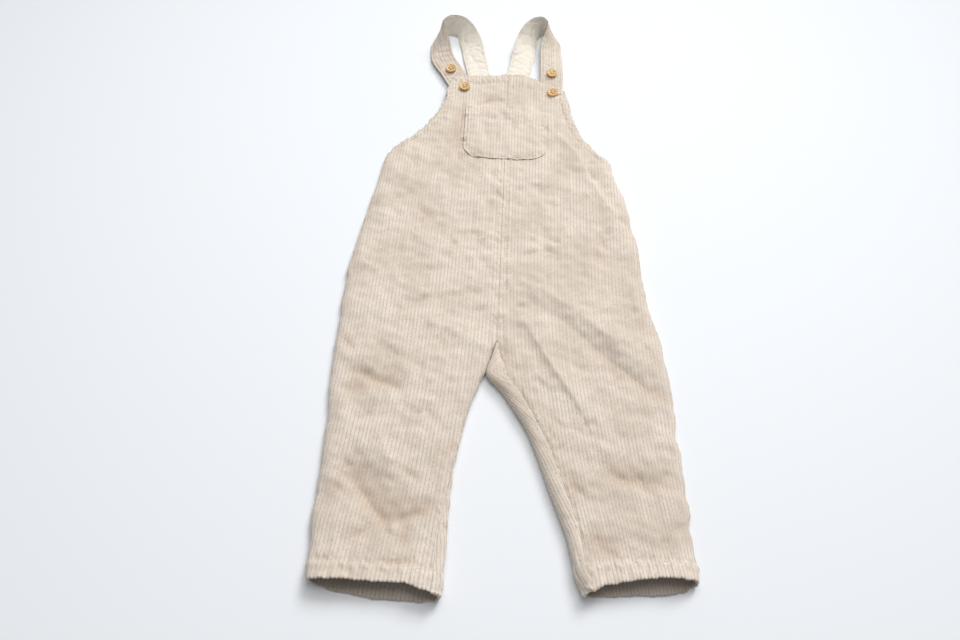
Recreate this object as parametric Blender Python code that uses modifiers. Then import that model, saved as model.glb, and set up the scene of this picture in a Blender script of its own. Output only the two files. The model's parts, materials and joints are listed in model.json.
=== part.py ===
"""Corduroy bib overalls for a baby of about one year, laid flat on a table.

The garment lies on its back with +Y towards the straps and +X to the viewer's right.
Each half is sewn from one front panel and one back panel. In the trunk the front lies
over the back; below the crotch the two close into a leg, and the back panel comes round
the inner fold and meets the front at the inseam on top. All tables are in millimetres,
measured from the crotch point, where the four panels meet.
"""

import math
from collections import namedtuple

import bmesh
import bpy
import numpy as np
from mathutils import Matrix, Vector

MM = 0.001

# Place of the crotch point, which puts the middle of the laid garment at the origin
CROTCH_X = -8.5
CROTCH_Y = -96.5

# Cloth
CLOTH = 1.6                # one layer of corduroy
TURNED = 2.4               # corduroy turned under and stitched at an edge
SEAM_GAP = 0.35            # between two pieces that meet
HEM_DEPTH = 13.0           # turned hem of each leg
TOP_DEPTH = 12.0           # turned edge along the top of the bib

# How a section bends at its edges
SIDE_ROLL = 16.0           # width over which the front rounds down to the side seam
FOLD_ROLL = 8.0            # the same at the inner fold of a leg
UNDER_ROLL = 7.0           # width over which the back rounds up from the table
SEAM_HEIGHT = 0.45         # height of the side seam as a share of the crown
OPEN_TILT = 25.0           # how far round its roll an open armhole edge starts, degrees
BACK_INSET = 1.5           # the back lies this far inside the front at the armholes
CROTCH_EASE = 0.8          # extra gap at the inseam as it runs into the crotch point
CROTCH_TUCK = 4.2          # the back's edge starts this far under the crotch point

FRONT_COLUMNS = 13
BACK_COLUMNS = 12
STEP_LENGTH = 26.0         # a column is spent on this much length
STEP_TURN = 24.0           # or on this much bend, degrees
LINE_POINTS = 40           # points of one stretch of a section, before it is divided

# Height of the front's outer face above the table
CROWN_Y = (-215, -200, -180, -150, 195, 232, 290, 340)
CROWN_Z = (15.5, 14.0, 11.5, 10.8, 10.8, 9.8, 9.4, 9.4)

# The largest folds of the front: where the crease runs from and to, how wide it is to
# each side, and how far it rises (or sinks) from the face around it
Fold = namedtuple("Fold", "x0 y0 x1 y1 reach rise")
FOLDS = tuple(Fold(*row) for row in (
    (74, 232, 88, 180, 14, 2.4),
    (88, 180, 128, 104, 13, 2.2),
    (18, 68, 70, 16, 18, 2.6),
    (70, 16, 122, -36, 20, 3.2),
    (34, 8, 84, -90, 12, -1.6),
    (90, -112, 144, -150, 15, 2.8),
    (-128, -40, -88, -54, 13, -1.7),
    (-128, -97, -88, -132, 17, 2.8),
    (-128, -142, -88, -166, 12, -1.7),
    (-80, -164, -50, -150, 12, 2.2),
))
FOLD_FADE = 24.0           # a fold dies away over this much before a panel's side edges
ROW_GAP = 20.0             # sections of a panel are no further apart than this

# One row for each section of a half, from the hem to the top of the bib.
# y: place along the garment at the outer edge. outer: side seam or armhole edge.
# inner: centre line, or the inner fold of the leg. wrap: how far the back panel comes
# over the fold onto the top. roll: 1 where the front rounds down to the inner fold.
# rise: 1 where the back rounds up to it. opened: 1 along the armhole, and more at the
# bib's corners, which lie flat on the strap ends.
Station = namedtuple("Station", "y outer inner wrap roll rise opened")

LEFT_STATIONS = tuple(Station(*row) for row in (
    (-215, -139, -35.5, 12, 1, 1, 0),
    (-203, -140, -34, 12, 1, 1, 0),
    (-201, -140, -34, 12, 1, 1, 0),
    (-183, -141, -33, 11, 1, 1, 0),
    (-158, -142, -33, 8, 1, 1, 0),
    (-128, -142, -32, 2, 1, 1, 0),
    (-101, -142, -28, 0, 1, 1, 0),
    (-78, -142, -24, 0, 1, 1, 0),
    (-56, -144, -18, 0, 1, 1, 0),
    (-31, -145, -9, 0, 1, 1, 0),
    (-14, -145, -4, 0, 0.8, 1, 0),
    (-7, -145, -2, 0, 0.4, 1, 0),
    (0, -145, 0, 0, 0, 1, 0),
    (6, -145, 0, 0, 0, 0.5, 0),
    (12, -145, 0, 0, 0, 0, 0),
    (50, -145, 0, 0, 0, 0, 0),
    (78, -144, 0, 0, 0, 0, 0),
    (105, -140, 0, 0, 0, 0, 0),
    (151, -133, 0, 0, 0, 0, 0),
    (190, -127, 0, 0, 0, 0, 0),
    (211, -124, 0, 0, 0, 0, 0),
    (219, -121, 0, 0, 0, 0, 0.5),
    (228, -115, 0, 0, 0, 0, 1),
    (237, -106, 0, 0, 0, 0, 1),
    (249, -94, 0, 0, 0, 0, 1),
    (262, -84, 0, 0, 0, 0, 1),
    (277, -76, 0, 0, 0, 0, 1),
    (294, -70, 0, 0, 0, 0, 1.8),
    (309, -66, 0, 0, 0, 0, 3.6),
    (324, -63.5, 0, 0, 0, 0, 3.6),
    (334, -58, 0, 0, 0, 0, 3.6),
))

RIGHT_STATIONS = tuple(Station(*row) for row in (
    (-204, 162, 74, 12, 1, 1, 0),
    (-194, 162, 68, 12, 1, 1, 0),
    (-192, 162, 67, 12, 1, 1, 0),
    (-168, 160, 59, 15, 1, 1, 0),
    (-139, 159, 48, 16, 1, 1, 0),
    (-110, 157, 38, 16, 1, 1, 0),
    (-87, 155, 29, 15, 1, 1, 0),
    (-65, 154, 16, 17, 1, 1, 0),
    (-50, 154, 6, 18, 1, 1, 0),
    (-31, 152, -9, 21, 1, 1, 0),
    (-14, 149, -4, 8, 0.8, 1, 0),
    (-7, 148.5, -2, 3.5, 0.4, 1, 0),
    (0, 148, 0, 0, 0, 1, 0),
    (6, 147, 0, 0, 0, 0.5, 0),
    (12, 146, 0, 0, 0, 0, 0),
    (35, 140, 0, 0, 0, 0, 0),
    (77, 134, 0, 0, 0, 0, 0),
    (105, 133, 0, 0, 0, 0, 0),
    (133, 127, 0, 0, 0, 0, 0),
    (163, 123, 0, 0, 0, 0, 0),
    (183, 117, 0, 0, 0, 0, 0),
    (193, 113.5, 0, 0, 0, 0, 0),
    (201, 112, 0, 0, 0, 0, 0.5),
    (211, 109, 0, 0, 0, 0, 1),
    (223, 102, 0, 0, 0, 0, 1),
    (233, 92, 0, 0, 0, 0, 1),
    (250, 81, 0, 0, 0, 0, 1),
    (275, 71, 0, 0, 0, 0, 1.3),
    (292, 67.5, 0, 0, 0, 0, 2.6),
    (306, 64.5, 0, 0, 0, 0, 3.6),
    (319, 59, 0, 0, 0, 0, 3.6),
))

# Edges of the cut panels, as height over the share of the way in from the outer edge
Edge = namedtuple("Edge", "share y")
FRONT_HEM = {
    "left": Edge((0, 0.8, 1), (-215, -216, -222)),
    "right": Edge((0, 0.35, 0.9, 1), (-204, -202, -210, -215)),
}
BACK_HEM = {
    "left": Edge((0, 0.2, 0.45, 0.75, 0.9, 1), (-214, -222, -226, -227, -225, -222)),
    "right": Edge((0, 0.15, 0.35, 0.65, 0.9, 1), (-204, -211, -214, -216, -218, -215)),
}
BIB_TOP = {
    "left": Edge((0, 0.6, 1), (334, 334, 337)),
    "right": Edge((0, 0.37, 0.52, 0.78, 1), (319, 326, 333, 339, 337)),
}
BACK_TOP = {
    "left": Edge((0, 1), (322, 325)),
    "right": Edge((0, 0.55, 1), (307, 325, 325)),
}
HEM_BASE = -175.0          # below this the rows bend to follow the hem
TOP_BASE = 290.0           # above this the rows bend to follow the top of the bib

# Pocket on the bib
POCKET_HALF = 44.0
POCKET_WALL = 1.6
POCKET_LOW = 216.5
POCKET_CORNER = 14.0
POCKET_TOP = Edge((-44, 0, 44), (286, 285, 272))
POCKET_COLUMNS = (-44, -42.5, -39, -34, -27, -14, 0, 14, 27, 34, 39, 42.5, 44)
POCKET_ROWS = 7

# Straps: corduroy face and cotton lining, 25 mm wide
STRAP_WIDTH = 25.0
STRAP_FACE = 1.3
STRAP_LINING = 0.9
STRAP_THICK = STRAP_FACE + SEAM_GAP + STRAP_LINING
STRAP_ROWS = 34
STRAP_COLUMNS = 3

# A strap's middle line, from its back end to its front end. lean: how far the lining
# has turned from facing up, through facing the loop's hole, to facing down, degrees.
# lift: clearance of the strap's lower side from the table.
StrapPoint = namedtuple("StrapPoint", "x y lean lift")

LEFT_STRAP = tuple(StrapPoint(*row) for row in (
    (-29, 322.5, 0, 0),
    (-32, 340, 0, 0),
    (-38, 366, 8, 0),
    (-47, 397, 35, 0),
    (-58, 412.5, 68, 0),
    (-70, 416, 88, 0),
    (-79, 410, 98, 0),
    (-82.5, 396, 122, 0),
    (-81.5, 384, 147, 0.5),
    (-76, 367, 168, 2),
    (-64, 346, 178, 2.9),
    (-55, 329.5, 180, 2.9),
    (-47, 315, 180, 2.9),
    (-41, 304, 180, 2.9),
))
RIGHT_STRAP = tuple(StrapPoint(*row) for row in (
    (9, 326, 0, 0),
    (11, 343, 0, 0),
    (16, 371, 8, 0),
    (21, 397, 35, 0),
    (28, 411.5, 66, 0),
    (37, 417.5, 88, 0),
    (45, 413, 104, 0),
    (49, 401, 126, 0),
    (50, 385, 150, 0.5),
    (49, 366, 169, 2),
    (48.5, 341, 178, 2.9),
    (48, 327, 180, 2.9),
    (49, 310, 180, 2.9),
    (49.5, 297, 180, 2.9),
))

# Buttons
BUTTON_RADIUS = 5.8
BUTTON_HEIGHT = 2.8
BUTTON_RIM = 1.3
BUTTON_DISH = 0.7
BUTTON_FOOT = 4.6
BUTTON_STEPS = 24
BUTTON_STAND = 0.5         # a strap's button stands this far off the strap
HOLE_RADIUS = 0.65
HOLE_OFFSET = 1.15
BIB_BUTTONS = {"left": (-47, 315), "right": (49, 310)}
STRAP_BUTTON_POINT = 10    # the row of a strap's table that its button sits on

OUTWARD = {"left": -1, "right": 1}
STATIONS = {"left": LEFT_STATIONS, "right": RIGHT_STATIONS}
STRAPS = {"left": LEFT_STRAP, "right": RIGHT_STRAP}

# Finishes: linear colour, roughness
FINISHES = {
    "wide wale corduroy": ((0.72, 0.63, 0.53), 0.9),
    "cotton twill lining": ((0.80, 0.77, 0.70), 0.85),
    "varnished wood": ((0.53, 0.37, 0.19), 0.45),
}


def clear_scene():
    """Remove what is in the scene and in its data."""
    for thing in list(bpy.data.objects):
        bpy.data.objects.remove(thing, do_unlink=True)
    for mesh in list(bpy.data.meshes):
        bpy.data.meshes.remove(mesh)


def finish_of(name, node):
    """A Principled material for one sub-part."""
    colour, roughness = FINISHES[name]
    material = bpy.data.materials.new(name + " of " + node)
    material.use_nodes = True
    shader = material.node_tree.nodes["Principled BSDF"]
    shader.inputs["Base Color"].default_value = (*colour, 1)
    shader.inputs["Roughness"].default_value = roughness
    shader.inputs["Metallic"].default_value = 0
    material.diffuse_color = (*colour, 1)
    return material


def add_object(name, mesh, finish, parts, root):
    """Put a mesh into the parts collection as one named sub-part."""
    thing = bpy.data.objects.new(name, mesh)
    thing.data.materials.append(finish_of(finish, name))
    thing.parent = root
    parts.objects.link(thing)
    return thing


def crown(y):
    """Height of the front's outer face at a place along the garment."""
    return np.interp(y, CROWN_Y, CROWN_Z)


def divide(line, normals, count):
    """Share out points along a line, closer together where it bends."""
    steps = np.linalg.norm(np.diff(line, axis=0), axis=1)
    turns = np.degrees(np.arccos(np.clip((normals[1:] * normals[:-1]).sum(axis=1), -1, 1)))
    spent = np.concatenate(([0], np.cumsum(steps / STEP_LENGTH + turns / STEP_TURN)))
    wanted = np.linspace(0, spent[-1], count)
    points = np.stack([np.interp(wanted, spent, line[:, k]) for k in range(2)], axis=1)
    facing = np.stack([np.interp(wanted, spent, normals[:, k]) for k in range(2)], axis=1)
    facing /= np.linalg.norm(facing, axis=1)[:, None]
    run = np.concatenate(([0], np.cumsum(steps)))
    share = np.interp(wanted, spent, run) / run[-1]
    return points, facing, share


def trim(line, normals, start, end):
    """Cut a length off each end of a line."""
    run = np.concatenate(([0], np.cumsum(np.linalg.norm(np.diff(line, axis=0), axis=1))))
    inside = (run > start) & (run < run[-1] - end)
    marks = np.concatenate(([start], run[inside], [run[-1] - end]))
    cut = np.stack([np.interp(marks, run, line[:, k]) for k in range(2)], axis=1)
    facing = np.stack([np.interp(marks, run, normals[:, k]) for k in range(2)], axis=1)
    facing /= np.linalg.norm(facing, axis=1)[:, None]
    return cut, facing


def fold_height(x, y, from_edges):
    """How far the folds lift the front at each point of a row of the panel."""
    lift = np.zeros(x.shape)
    for fold in FOLDS:
        run = np.array((fold.x1 - fold.x0, fold.y1 - fold.y0))
        length = np.linalg.norm(run)
        run = run / length
        ahead = (x - fold.x0) * run[0] + (y - fold.y0) * run[1]
        beside = (x - fold.x0) * run[1] - (y - fold.y0) * run[0]
        past = np.maximum(0, np.abs(ahead - length / 2) - length / 2)
        lift += fold.rise * np.exp(-(beside ** 2 + past ** 2) / fold.reach ** 2)
    fade = np.clip(from_edges / FOLD_FADE, 0, 1)
    return lift * fade ** 2 * (3 - 2 * fade)


def finer(stations):
    """Add sections between those of a table that stand too far apart."""
    rows = [stations[0]]
    for station in stations[1:]:
        parts = math.ceil((station.y - rows[-1].y) / ROW_GAP)
        before = rows[-1]
        for number in range(1, parts):
            share = number / parts
            mixed = [a + (b - a) * share for a, b in zip(before, station)]
            rows.append(Station(*mixed))
        rows.append(station)
    return rows


def front_line(station):
    """The front's outer face in one section, from the side seam to the inner edge.

    Distances run inwards from the outer edge. The line rounds up out of the side seam on
    a quarter of an ellipse, runs level, and rounds down again at a leg's inner fold.
    """
    width = abs(station.outer - station.inner)
    top = crown(station.y)
    seam = SEAM_HEIGHT * top
    start = math.radians(OPEN_TILT * station.opened)
    end = math.radians(90 * (1 - station.roll))
    up = np.linspace(start, math.pi / 2, LINE_POINTS)
    down = np.linspace(math.pi / 2, end, LINE_POINTS)
    rounded = SIDE_ROLL * (math.cos(start) - np.cos(up))
    folded = width - FOLD_ROLL * (math.cos(end) - np.cos(down))
    level = np.linspace(rounded[-1], folded[0], LINE_POINTS)[1:-1]
    distance = np.concatenate((rounded, level, folded))
    flat = np.full(level.size, top)
    rising = seam + (top - seam) * np.sin(up)
    falling = seam + (top - seam) * np.sin(down)
    height = np.concatenate((rising, flat, falling))
    side = np.concatenate((-np.cos(up) / SIDE_ROLL, 0 * flat, np.cos(down) / FOLD_ROLL))
    lift = np.concatenate((np.sin(up) / (top - seam), 1 + flat, np.sin(down) / (top - seam)))
    facing = np.stack((side, lift), axis=1)
    facing /= np.linalg.norm(facing, axis=1)[:, None]
    return np.stack((distance, height), axis=1), facing


def under_line(station):
    """The back's outer face along the table, from the side seam to the inner edge."""
    width = abs(station.outer - station.inner)
    seam = SEAM_HEIGHT * crown(station.y)
    start = math.radians(90 * min(station.opened, 1))
    end = math.radians(90 * (1 - station.rise))
    down = np.linspace(start, math.pi / 2, LINE_POINTS)
    up = np.linspace(math.pi / 2, end, LINE_POINTS)
    inset = BACK_INSET * min(station.opened, 1)
    rounded = inset + UNDER_ROLL * (math.cos(start) - np.cos(down))
    folded = width - UNDER_ROLL * (math.cos(end) - np.cos(up))
    level = np.linspace(rounded[-1], folded[0], LINE_POINTS)[1:-1]
    distance = np.concatenate((rounded, level, folded))
    flat = np.zeros(level.size)
    height = np.concatenate((seam * (1 - np.sin(down)), flat, seam * (1 - np.sin(up))))
    side = np.concatenate((-np.cos(down) / UNDER_ROLL, flat, np.cos(up) / UNDER_ROLL))
    lift = -np.concatenate((np.sin(down) / seam, 1 + flat, np.sin(up) / seam))
    facing = np.stack((side, lift), axis=1)
    facing /= np.linalg.norm(facing, axis=1)[:, None]
    return np.stack((distance, height), axis=1), facing


def front_section(station):
    """The front panel's share of a section."""
    line, facing = front_line(station)
    seam = station.wrap + SEAM_GAP / 2 if station.wrap else 0
    line, facing = trim(line, facing, SEAM_GAP / 2, seam)
    return divide(line, facing, FRONT_COLUMNS)


def back_section(station):
    """The back panel's share of a section: under the garment and round the inner fold."""
    line, facing = under_line(station)
    if station.rise < 1:
        line, facing = trim(line, facing, SEAM_GAP / 2, 0)
        return divide(line, facing, BACK_COLUMNS)
    front, front_facing = front_line(station)
    front = front[::-1]
    front_facing = front_facing[::-1]
    end_height = front[0, 1]
    if station.wrap == 0:
        end_height -= CLOTH * front_facing[0, 1] + SEAM_GAP
        end_height -= CROTCH_TUCK * (1 - station.roll)
    wall = np.linspace(line[-1, 1], end_height, 6)[1:]
    standing = np.stack((np.full(wall.size, line[-1, 0]), wall), axis=1)
    sideways = np.tile((1.0, 0.0), (wall.size, 1))
    if station.wrap == 0:
        if end_height < line[-1, 1]:
            line, facing = trim(line, facing, SEAM_GAP / 2, SEAM_GAP)
            return divide(line, facing, BACK_COLUMNS)
        line = np.concatenate((line, standing))
        facing = np.concatenate((facing, sideways))
        line, facing = trim(line, facing, SEAM_GAP / 2, 0)
        return divide(line, facing, BACK_COLUMNS)
    run = np.concatenate(([0], np.cumsum(np.linalg.norm(np.diff(front, axis=0), axis=1))))
    kept = run < station.wrap
    stop = np.array([[np.interp(station.wrap, run, front[:, k]) for k in range(2)]])
    stop_facing = np.array([[np.interp(station.wrap, run, front_facing[:, k]) for k in range(2)]])
    if end_height - line[-1, 1] > SEAM_GAP:
        line = np.concatenate((line, standing[:-1]))
        facing = np.concatenate((facing, sideways[:-1]))
    line = np.concatenate((line, front[kept][1:], stop))
    facing = np.concatenate((facing, front_facing[kept][1:], stop_facing))
    ease = CROTCH_EASE * (1 - station.roll)
    line, facing = trim(line, facing, SEAM_GAP / 2, SEAM_GAP / 2 + ease)
    return divide(line, facing, BACK_COLUMNS)


def bend_rows(y, share, hem, top, stations):
    """Move a row's points along the garment so that the end rows follow the cut edges."""
    y = np.full(share.shape, float(y))
    if y[0] < HEM_BASE:
        edge = np.interp(share, hem.share, hem.y)
        return HEM_BASE + (y - HEM_BASE) * (edge - HEM_BASE) / (stations[0].y - HEM_BASE)
    if y[0] > TOP_BASE:
        edge = np.interp(share, top.share, top.y)
        return TOP_BASE + (y - TOP_BASE) * (edge - TOP_BASE) / (stations[-1].y - TOP_BASE)
    return y


def wall_of(station, stations):
    """Thickness of the cloth in one section: more in the turned edges."""
    in_hem = station.y < stations[0].y + HEM_DEPTH
    in_top = station.y > stations[-1].y - TOP_DEPTH / 2
    return TURNED if in_hem or in_top else CLOTH


def panel_mesh(name, side, section, hem, top):
    """Loft one panel through its sections and give it its thickness inwards."""
    outward = OUTWARD[side]
    clear = outward * SEAM_GAP / 2
    stations = [station._replace(inner=station.inner + clear) for station in STATIONS[side]]
    is_front = section is front_section
    outer_rows = []
    inner_rows = []
    for station in finer(stations):
        points, facing, share = section(station)
        y = bend_rows(station.y, share, hem, top, stations)
        wall = wall_of(station, stations)
        inner = points - wall * facing
        from_edges = np.minimum(points[:, 0], points[-1, 0] - points[:, 0])
        x = station.outer - outward * points[:, 0]
        lift = fold_height(x, y, from_edges) if is_front else 0
        for rows, flat in ((outer_rows, points), (inner_rows, inner)):
            x = station.outer - outward * flat[:, 0]
            rows.append(np.stack((x, y, flat[:, 1] + lift), axis=1))
    return closed_wall(name, np.array(outer_rows), np.array(inner_rows))


def closed_wall(name, outer, inner):
    """Join two faces of a cloth wall along their four edges into one closed body."""
    mesh = bpy.data.meshes.new(name)
    work = bmesh.new()
    rows, columns = outer.shape[:2]
    faces = [[[work.verts.new(Vector(p) * MM) for p in row] for row in grid]
             for grid in (outer, inner)]
    for grid in faces:
        for r in range(rows - 1):
            for c in range(columns - 1):
                work.faces.new((grid[r][c], grid[r][c + 1], grid[r + 1][c + 1], grid[r + 1][c]))
    loop = [(0, c) for c in range(columns - 1)]
    loop += [(r, columns - 1) for r in range(rows - 1)]
    loop += [(rows - 1, c) for c in range(columns - 1, 0, -1)]
    loop += [(r, 0) for r in range(rows - 1, 0, -1)]
    for (r0, c0), (r1, c1) in zip(loop, loop[1:] + loop[:1]):
        near = faces[0]
        far = faces[1]
        work.faces.new((near[r0][c0], near[r1][c1], far[r1][c1], far[r0][c0]))
    bmesh.ops.recalc_face_normals(work, faces=work.faces)
    work.to_mesh(mesh)
    work.free()
    return mesh


def sheet_mesh(name, grid):
    """An open grid of points as a mesh."""
    rows, columns = grid.shape[:2]
    index = np.arange(rows * columns).reshape(rows, columns)
    corners = (index[:-1, :-1], index[:-1, 1:], index[1:, 1:], index[1:, :-1])
    quads = np.stack([corner.ravel() for corner in corners], axis=1)
    mesh = bpy.data.meshes.new(name)
    mesh.from_pydata((grid.reshape(-1, 3) * MM).tolist(), [], quads.tolist())
    mesh.update()
    return mesh


def add_solidify(thing, thickness, grow):
    """Thicken a sheet: to both sides for grow 0, along its normals for 1, against them for -1."""
    solid = thing.modifiers.new("Cloth", "SOLIDIFY")
    solid.thickness = thickness * MM
    solid.offset = grow
    solid.use_even_offset = True


def pocket_grid():
    """Middle of the pocket's cloth, laid on the points of the bib under it."""
    columns = []
    for x in POCKET_COLUMNS:
        past = max(0.0, abs(x) - (POCKET_HALF - POCKET_CORNER))
        low = POCKET_LOW + POCKET_CORNER - math.sqrt(POCKET_CORNER ** 2 - past ** 2)
        high = np.interp(x, POCKET_TOP.share, POCKET_TOP.y)
        y = np.linspace(low, high, POCKET_ROWS)
        z = crown(y) + SEAM_GAP + POCKET_WALL / 2
        columns.append(np.stack((np.full(POCKET_ROWS, x), y, z), axis=1))
    return np.array(columns)


def smooth_rows(points, count):
    """Read a smooth curve through rows of values at even steps of its length."""
    values = np.array(points, dtype=float)
    gaps = np.linalg.norm(np.diff(values[:, :2], axis=0), axis=1)
    run = np.concatenate(([0], np.cumsum(gaps)))
    slopes = np.gradient(values, run, axis=0)
    wanted = np.linspace(0, run[-1], count)
    cell = np.clip(np.searchsorted(run, wanted, side="right") - 1, 0, len(gaps) - 1)
    width = gaps[cell][:, None]
    t = ((wanted - run[cell]) / gaps[cell])[:, None]
    before = values[cell] * (2 * t ** 3 - 3 * t ** 2 + 1) + slopes[cell] * width * (t ** 3 - 2 * t ** 2 + t)
    after = values[cell + 1] * (3 * t ** 2 - 2 * t ** 3) + slopes[cell + 1] * width * (t ** 3 - t ** 2)
    return before + after


def strap_frames(side):
    """Middle line of a strap, with its width direction and the way its lining faces."""
    rows = smooth_rows(STRAPS[side], STRAP_ROWS)
    along = np.gradient(rows[:, :2], axis=0)
    along /= np.linalg.norm(along, axis=1)[:, None]
    hole = -OUTWARD[side] * np.stack((-along[:, 1], along[:, 0]), axis=1)
    lean = np.radians(np.clip(rows[:, 2], 0, 180))
    faces = np.stack((hole[:, 0] * np.sin(lean), hole[:, 1] * np.sin(lean), np.cos(lean)), axis=1)
    tangent = np.concatenate((along, np.zeros((STRAP_ROWS, 1))), axis=1)
    across = np.cross(faces, tangent)
    height = np.clip(rows[:, 3], 0, None) + STRAP_WIDTH / 2 * np.sin(lean)
    height += STRAP_THICK / 2 * np.abs(np.cos(lean))
    middle = np.stack((rows[:, 0], rows[:, 1], height), axis=1)
    return middle, across, faces


def strap_grid(side, offset):
    """A sheet of strap: its middle line spread to its width and moved along its face.

    Its back end is cut to lie along the top of the back bib.
    """
    middle, across, faces = strap_frames(side)
    places = np.linspace(-STRAP_WIDTH / 2, STRAP_WIDTH / 2, STRAP_COLUMNS)
    grid = middle[:, None, :] + across[:, None, :] * places[None, :, None]
    grid += offset * faces[:, None, :]
    edge = BACK_TOP[side]
    width = abs(STATIONS[side][-1].outer)
    inwards = width - OUTWARD[side] * grid[0, :, 0] - BACK_INSET
    share = inwards / (width - BACK_INSET)
    grid[0, :, 1] = np.interp(share, edge.share, edge.y) + SEAM_GAP
    return grid


def button_mesh():
    """A turned button with a raised rim and a dished middle, pierced by four holes."""
    floor = BUTTON_HEIGHT - BUTTON_DISH
    inner = BUTTON_RADIUS - BUTTON_RIM
    profile = ((0, floor), (inner - 0.5, floor), (inner + 0.2, BUTTON_HEIGHT),
               (BUTTON_RADIUS - 0.5, BUTTON_HEIGHT), (BUTTON_RADIUS, BUTTON_HEIGHT - 0.6),
               (BUTTON_RADIUS, 1.0), (BUTTON_FOOT, 0), (0, 0))
    mesh = bpy.data.meshes.new("button")
    points = [(radius * MM, 0, height * MM) for radius, height in profile]
    mesh.from_pydata(points, [(k, k + 1) for k in range(len(points) - 1)], [])
    return mesh


def add_button(name, place, facing, parts, cutters, root):
    """Place one button with its four holes, standing off the cloth by the seam gap."""
    thing = add_object(name, button_mesh(), "varnished wood", parts, root)
    turned = thing.modifiers.new("Turned", "SCREW")
    turned.steps = BUTTON_STEPS
    turned.render_steps = BUTTON_STEPS
    turned.use_merge_vertices = True
    turned.merge_threshold = 0.00001
    turn = Vector((0, 0, 1)).rotation_difference(Vector(facing))
    thing.rotation_mode = "QUATERNION"
    thing.rotation_quaternion = turn
    thing.location = Vector(place) * MM
    for number in range(4):
        angle = math.radians(45 + 90 * number)
        bpy.ops.mesh.primitive_cylinder_add(vertices=10, radius=HOLE_RADIUS * MM,
                                            depth=4 * BUTTON_HEIGHT * MM)
        cutter = bpy.context.object
        cutter.name = name + " hole " + str(number + 1)
        for collection in list(cutter.users_collection):
            collection.objects.unlink(cutter)
        cutters.objects.link(cutter)
        cutter.parent = thing
        reach = HOLE_OFFSET * math.sqrt(2)
        cutter.location = Vector((reach * math.cos(angle), reach * math.sin(angle), 0)) * MM
        cutter.hide_render = True
        cutter.display_type = "WIRE"
        pierced = thing.modifiers.new("Hole", "BOOLEAN")
        pierced.operation = "DIFFERENCE"
        pierced.object = cutter


def build_side(side, parts, cutters, root):
    """Panels, strap and buttons of one half."""
    front = panel_mesh("front_panel_" + side, side, front_section, FRONT_HEM[side], BIB_TOP[side])
    add_object("front_panel_" + side, front, "wide wale corduroy", parts, root)
    back = panel_mesh("back_panel_" + side, side, back_section, BACK_HEM[side], BACK_TOP[side])
    add_object("back_panel_" + side, back, "wide wale corduroy", parts, root)

    face_side = STRAP_FACE - STRAP_THICK / 2
    face = sheet_mesh("strap_" + side, strap_grid(side, face_side))
    face_object = add_object("strap_" + side, face, "wide wale corduroy", parts, root)
    add_solidify(face_object, STRAP_FACE, 1)
    lining = sheet_mesh("strap_lining_" + side, strap_grid(side, face_side + SEAM_GAP))
    lining_object = add_object("strap_lining_" + side, lining, "cotton twill lining", parts, root)
    add_solidify(lining_object, STRAP_LINING, -1)

    x, y = BIB_BUTTONS[side]
    on_bib = (x, y, crown(y) + SEAM_GAP)
    add_button("bib_button_" + side, on_bib, (0, 0, 1), parts, cutters, root)

    middle, _, faces = strap_frames(side)
    point = STRAPS[side][STRAP_BUTTON_POINT]
    row = int(np.argmin(np.hypot(middle[:, 0] - point.x, middle[:, 1] - point.y)))
    on_strap = middle[row] - faces[row] * (STRAP_THICK / 2 + BUTTON_STAND)
    add_button("strap_button_" + side, on_strap, -faces[row], parts, cutters, root)


def main():
    clear_scene()
    scene = bpy.context.scene
    parts = bpy.data.collections.new("bib overalls")
    cutters = bpy.data.collections.new("cutters")
    scene.collection.children.link(parts)
    scene.collection.children.link(cutters)
    root = bpy.data.objects.new("crotch_point", None)
    root.location = Vector((CROTCH_X, CROTCH_Y, 0)) * MM
    parts.objects.link(root)
    for side in ("left", "right"):
        build_side(side, parts, cutters, root)
    pocket = sheet_mesh("bib_pocket", pocket_grid())
    pocket_object = add_object("bib_pocket", pocket, "wide wale corduroy", parts, root)
    add_solidify(pocket_object, POCKET_WALL, 0)


main()
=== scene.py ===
# Looks of a pair of corduroy bib overalls laid flat on a pale table.
# Lengths are in millimetres from the crotch point, where the four panels meet, until a
# mesh is made; +y runs to the straps, +x to the viewer's right, and z is 0 on the table.
import json
import math
from collections import namedtuple

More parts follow.
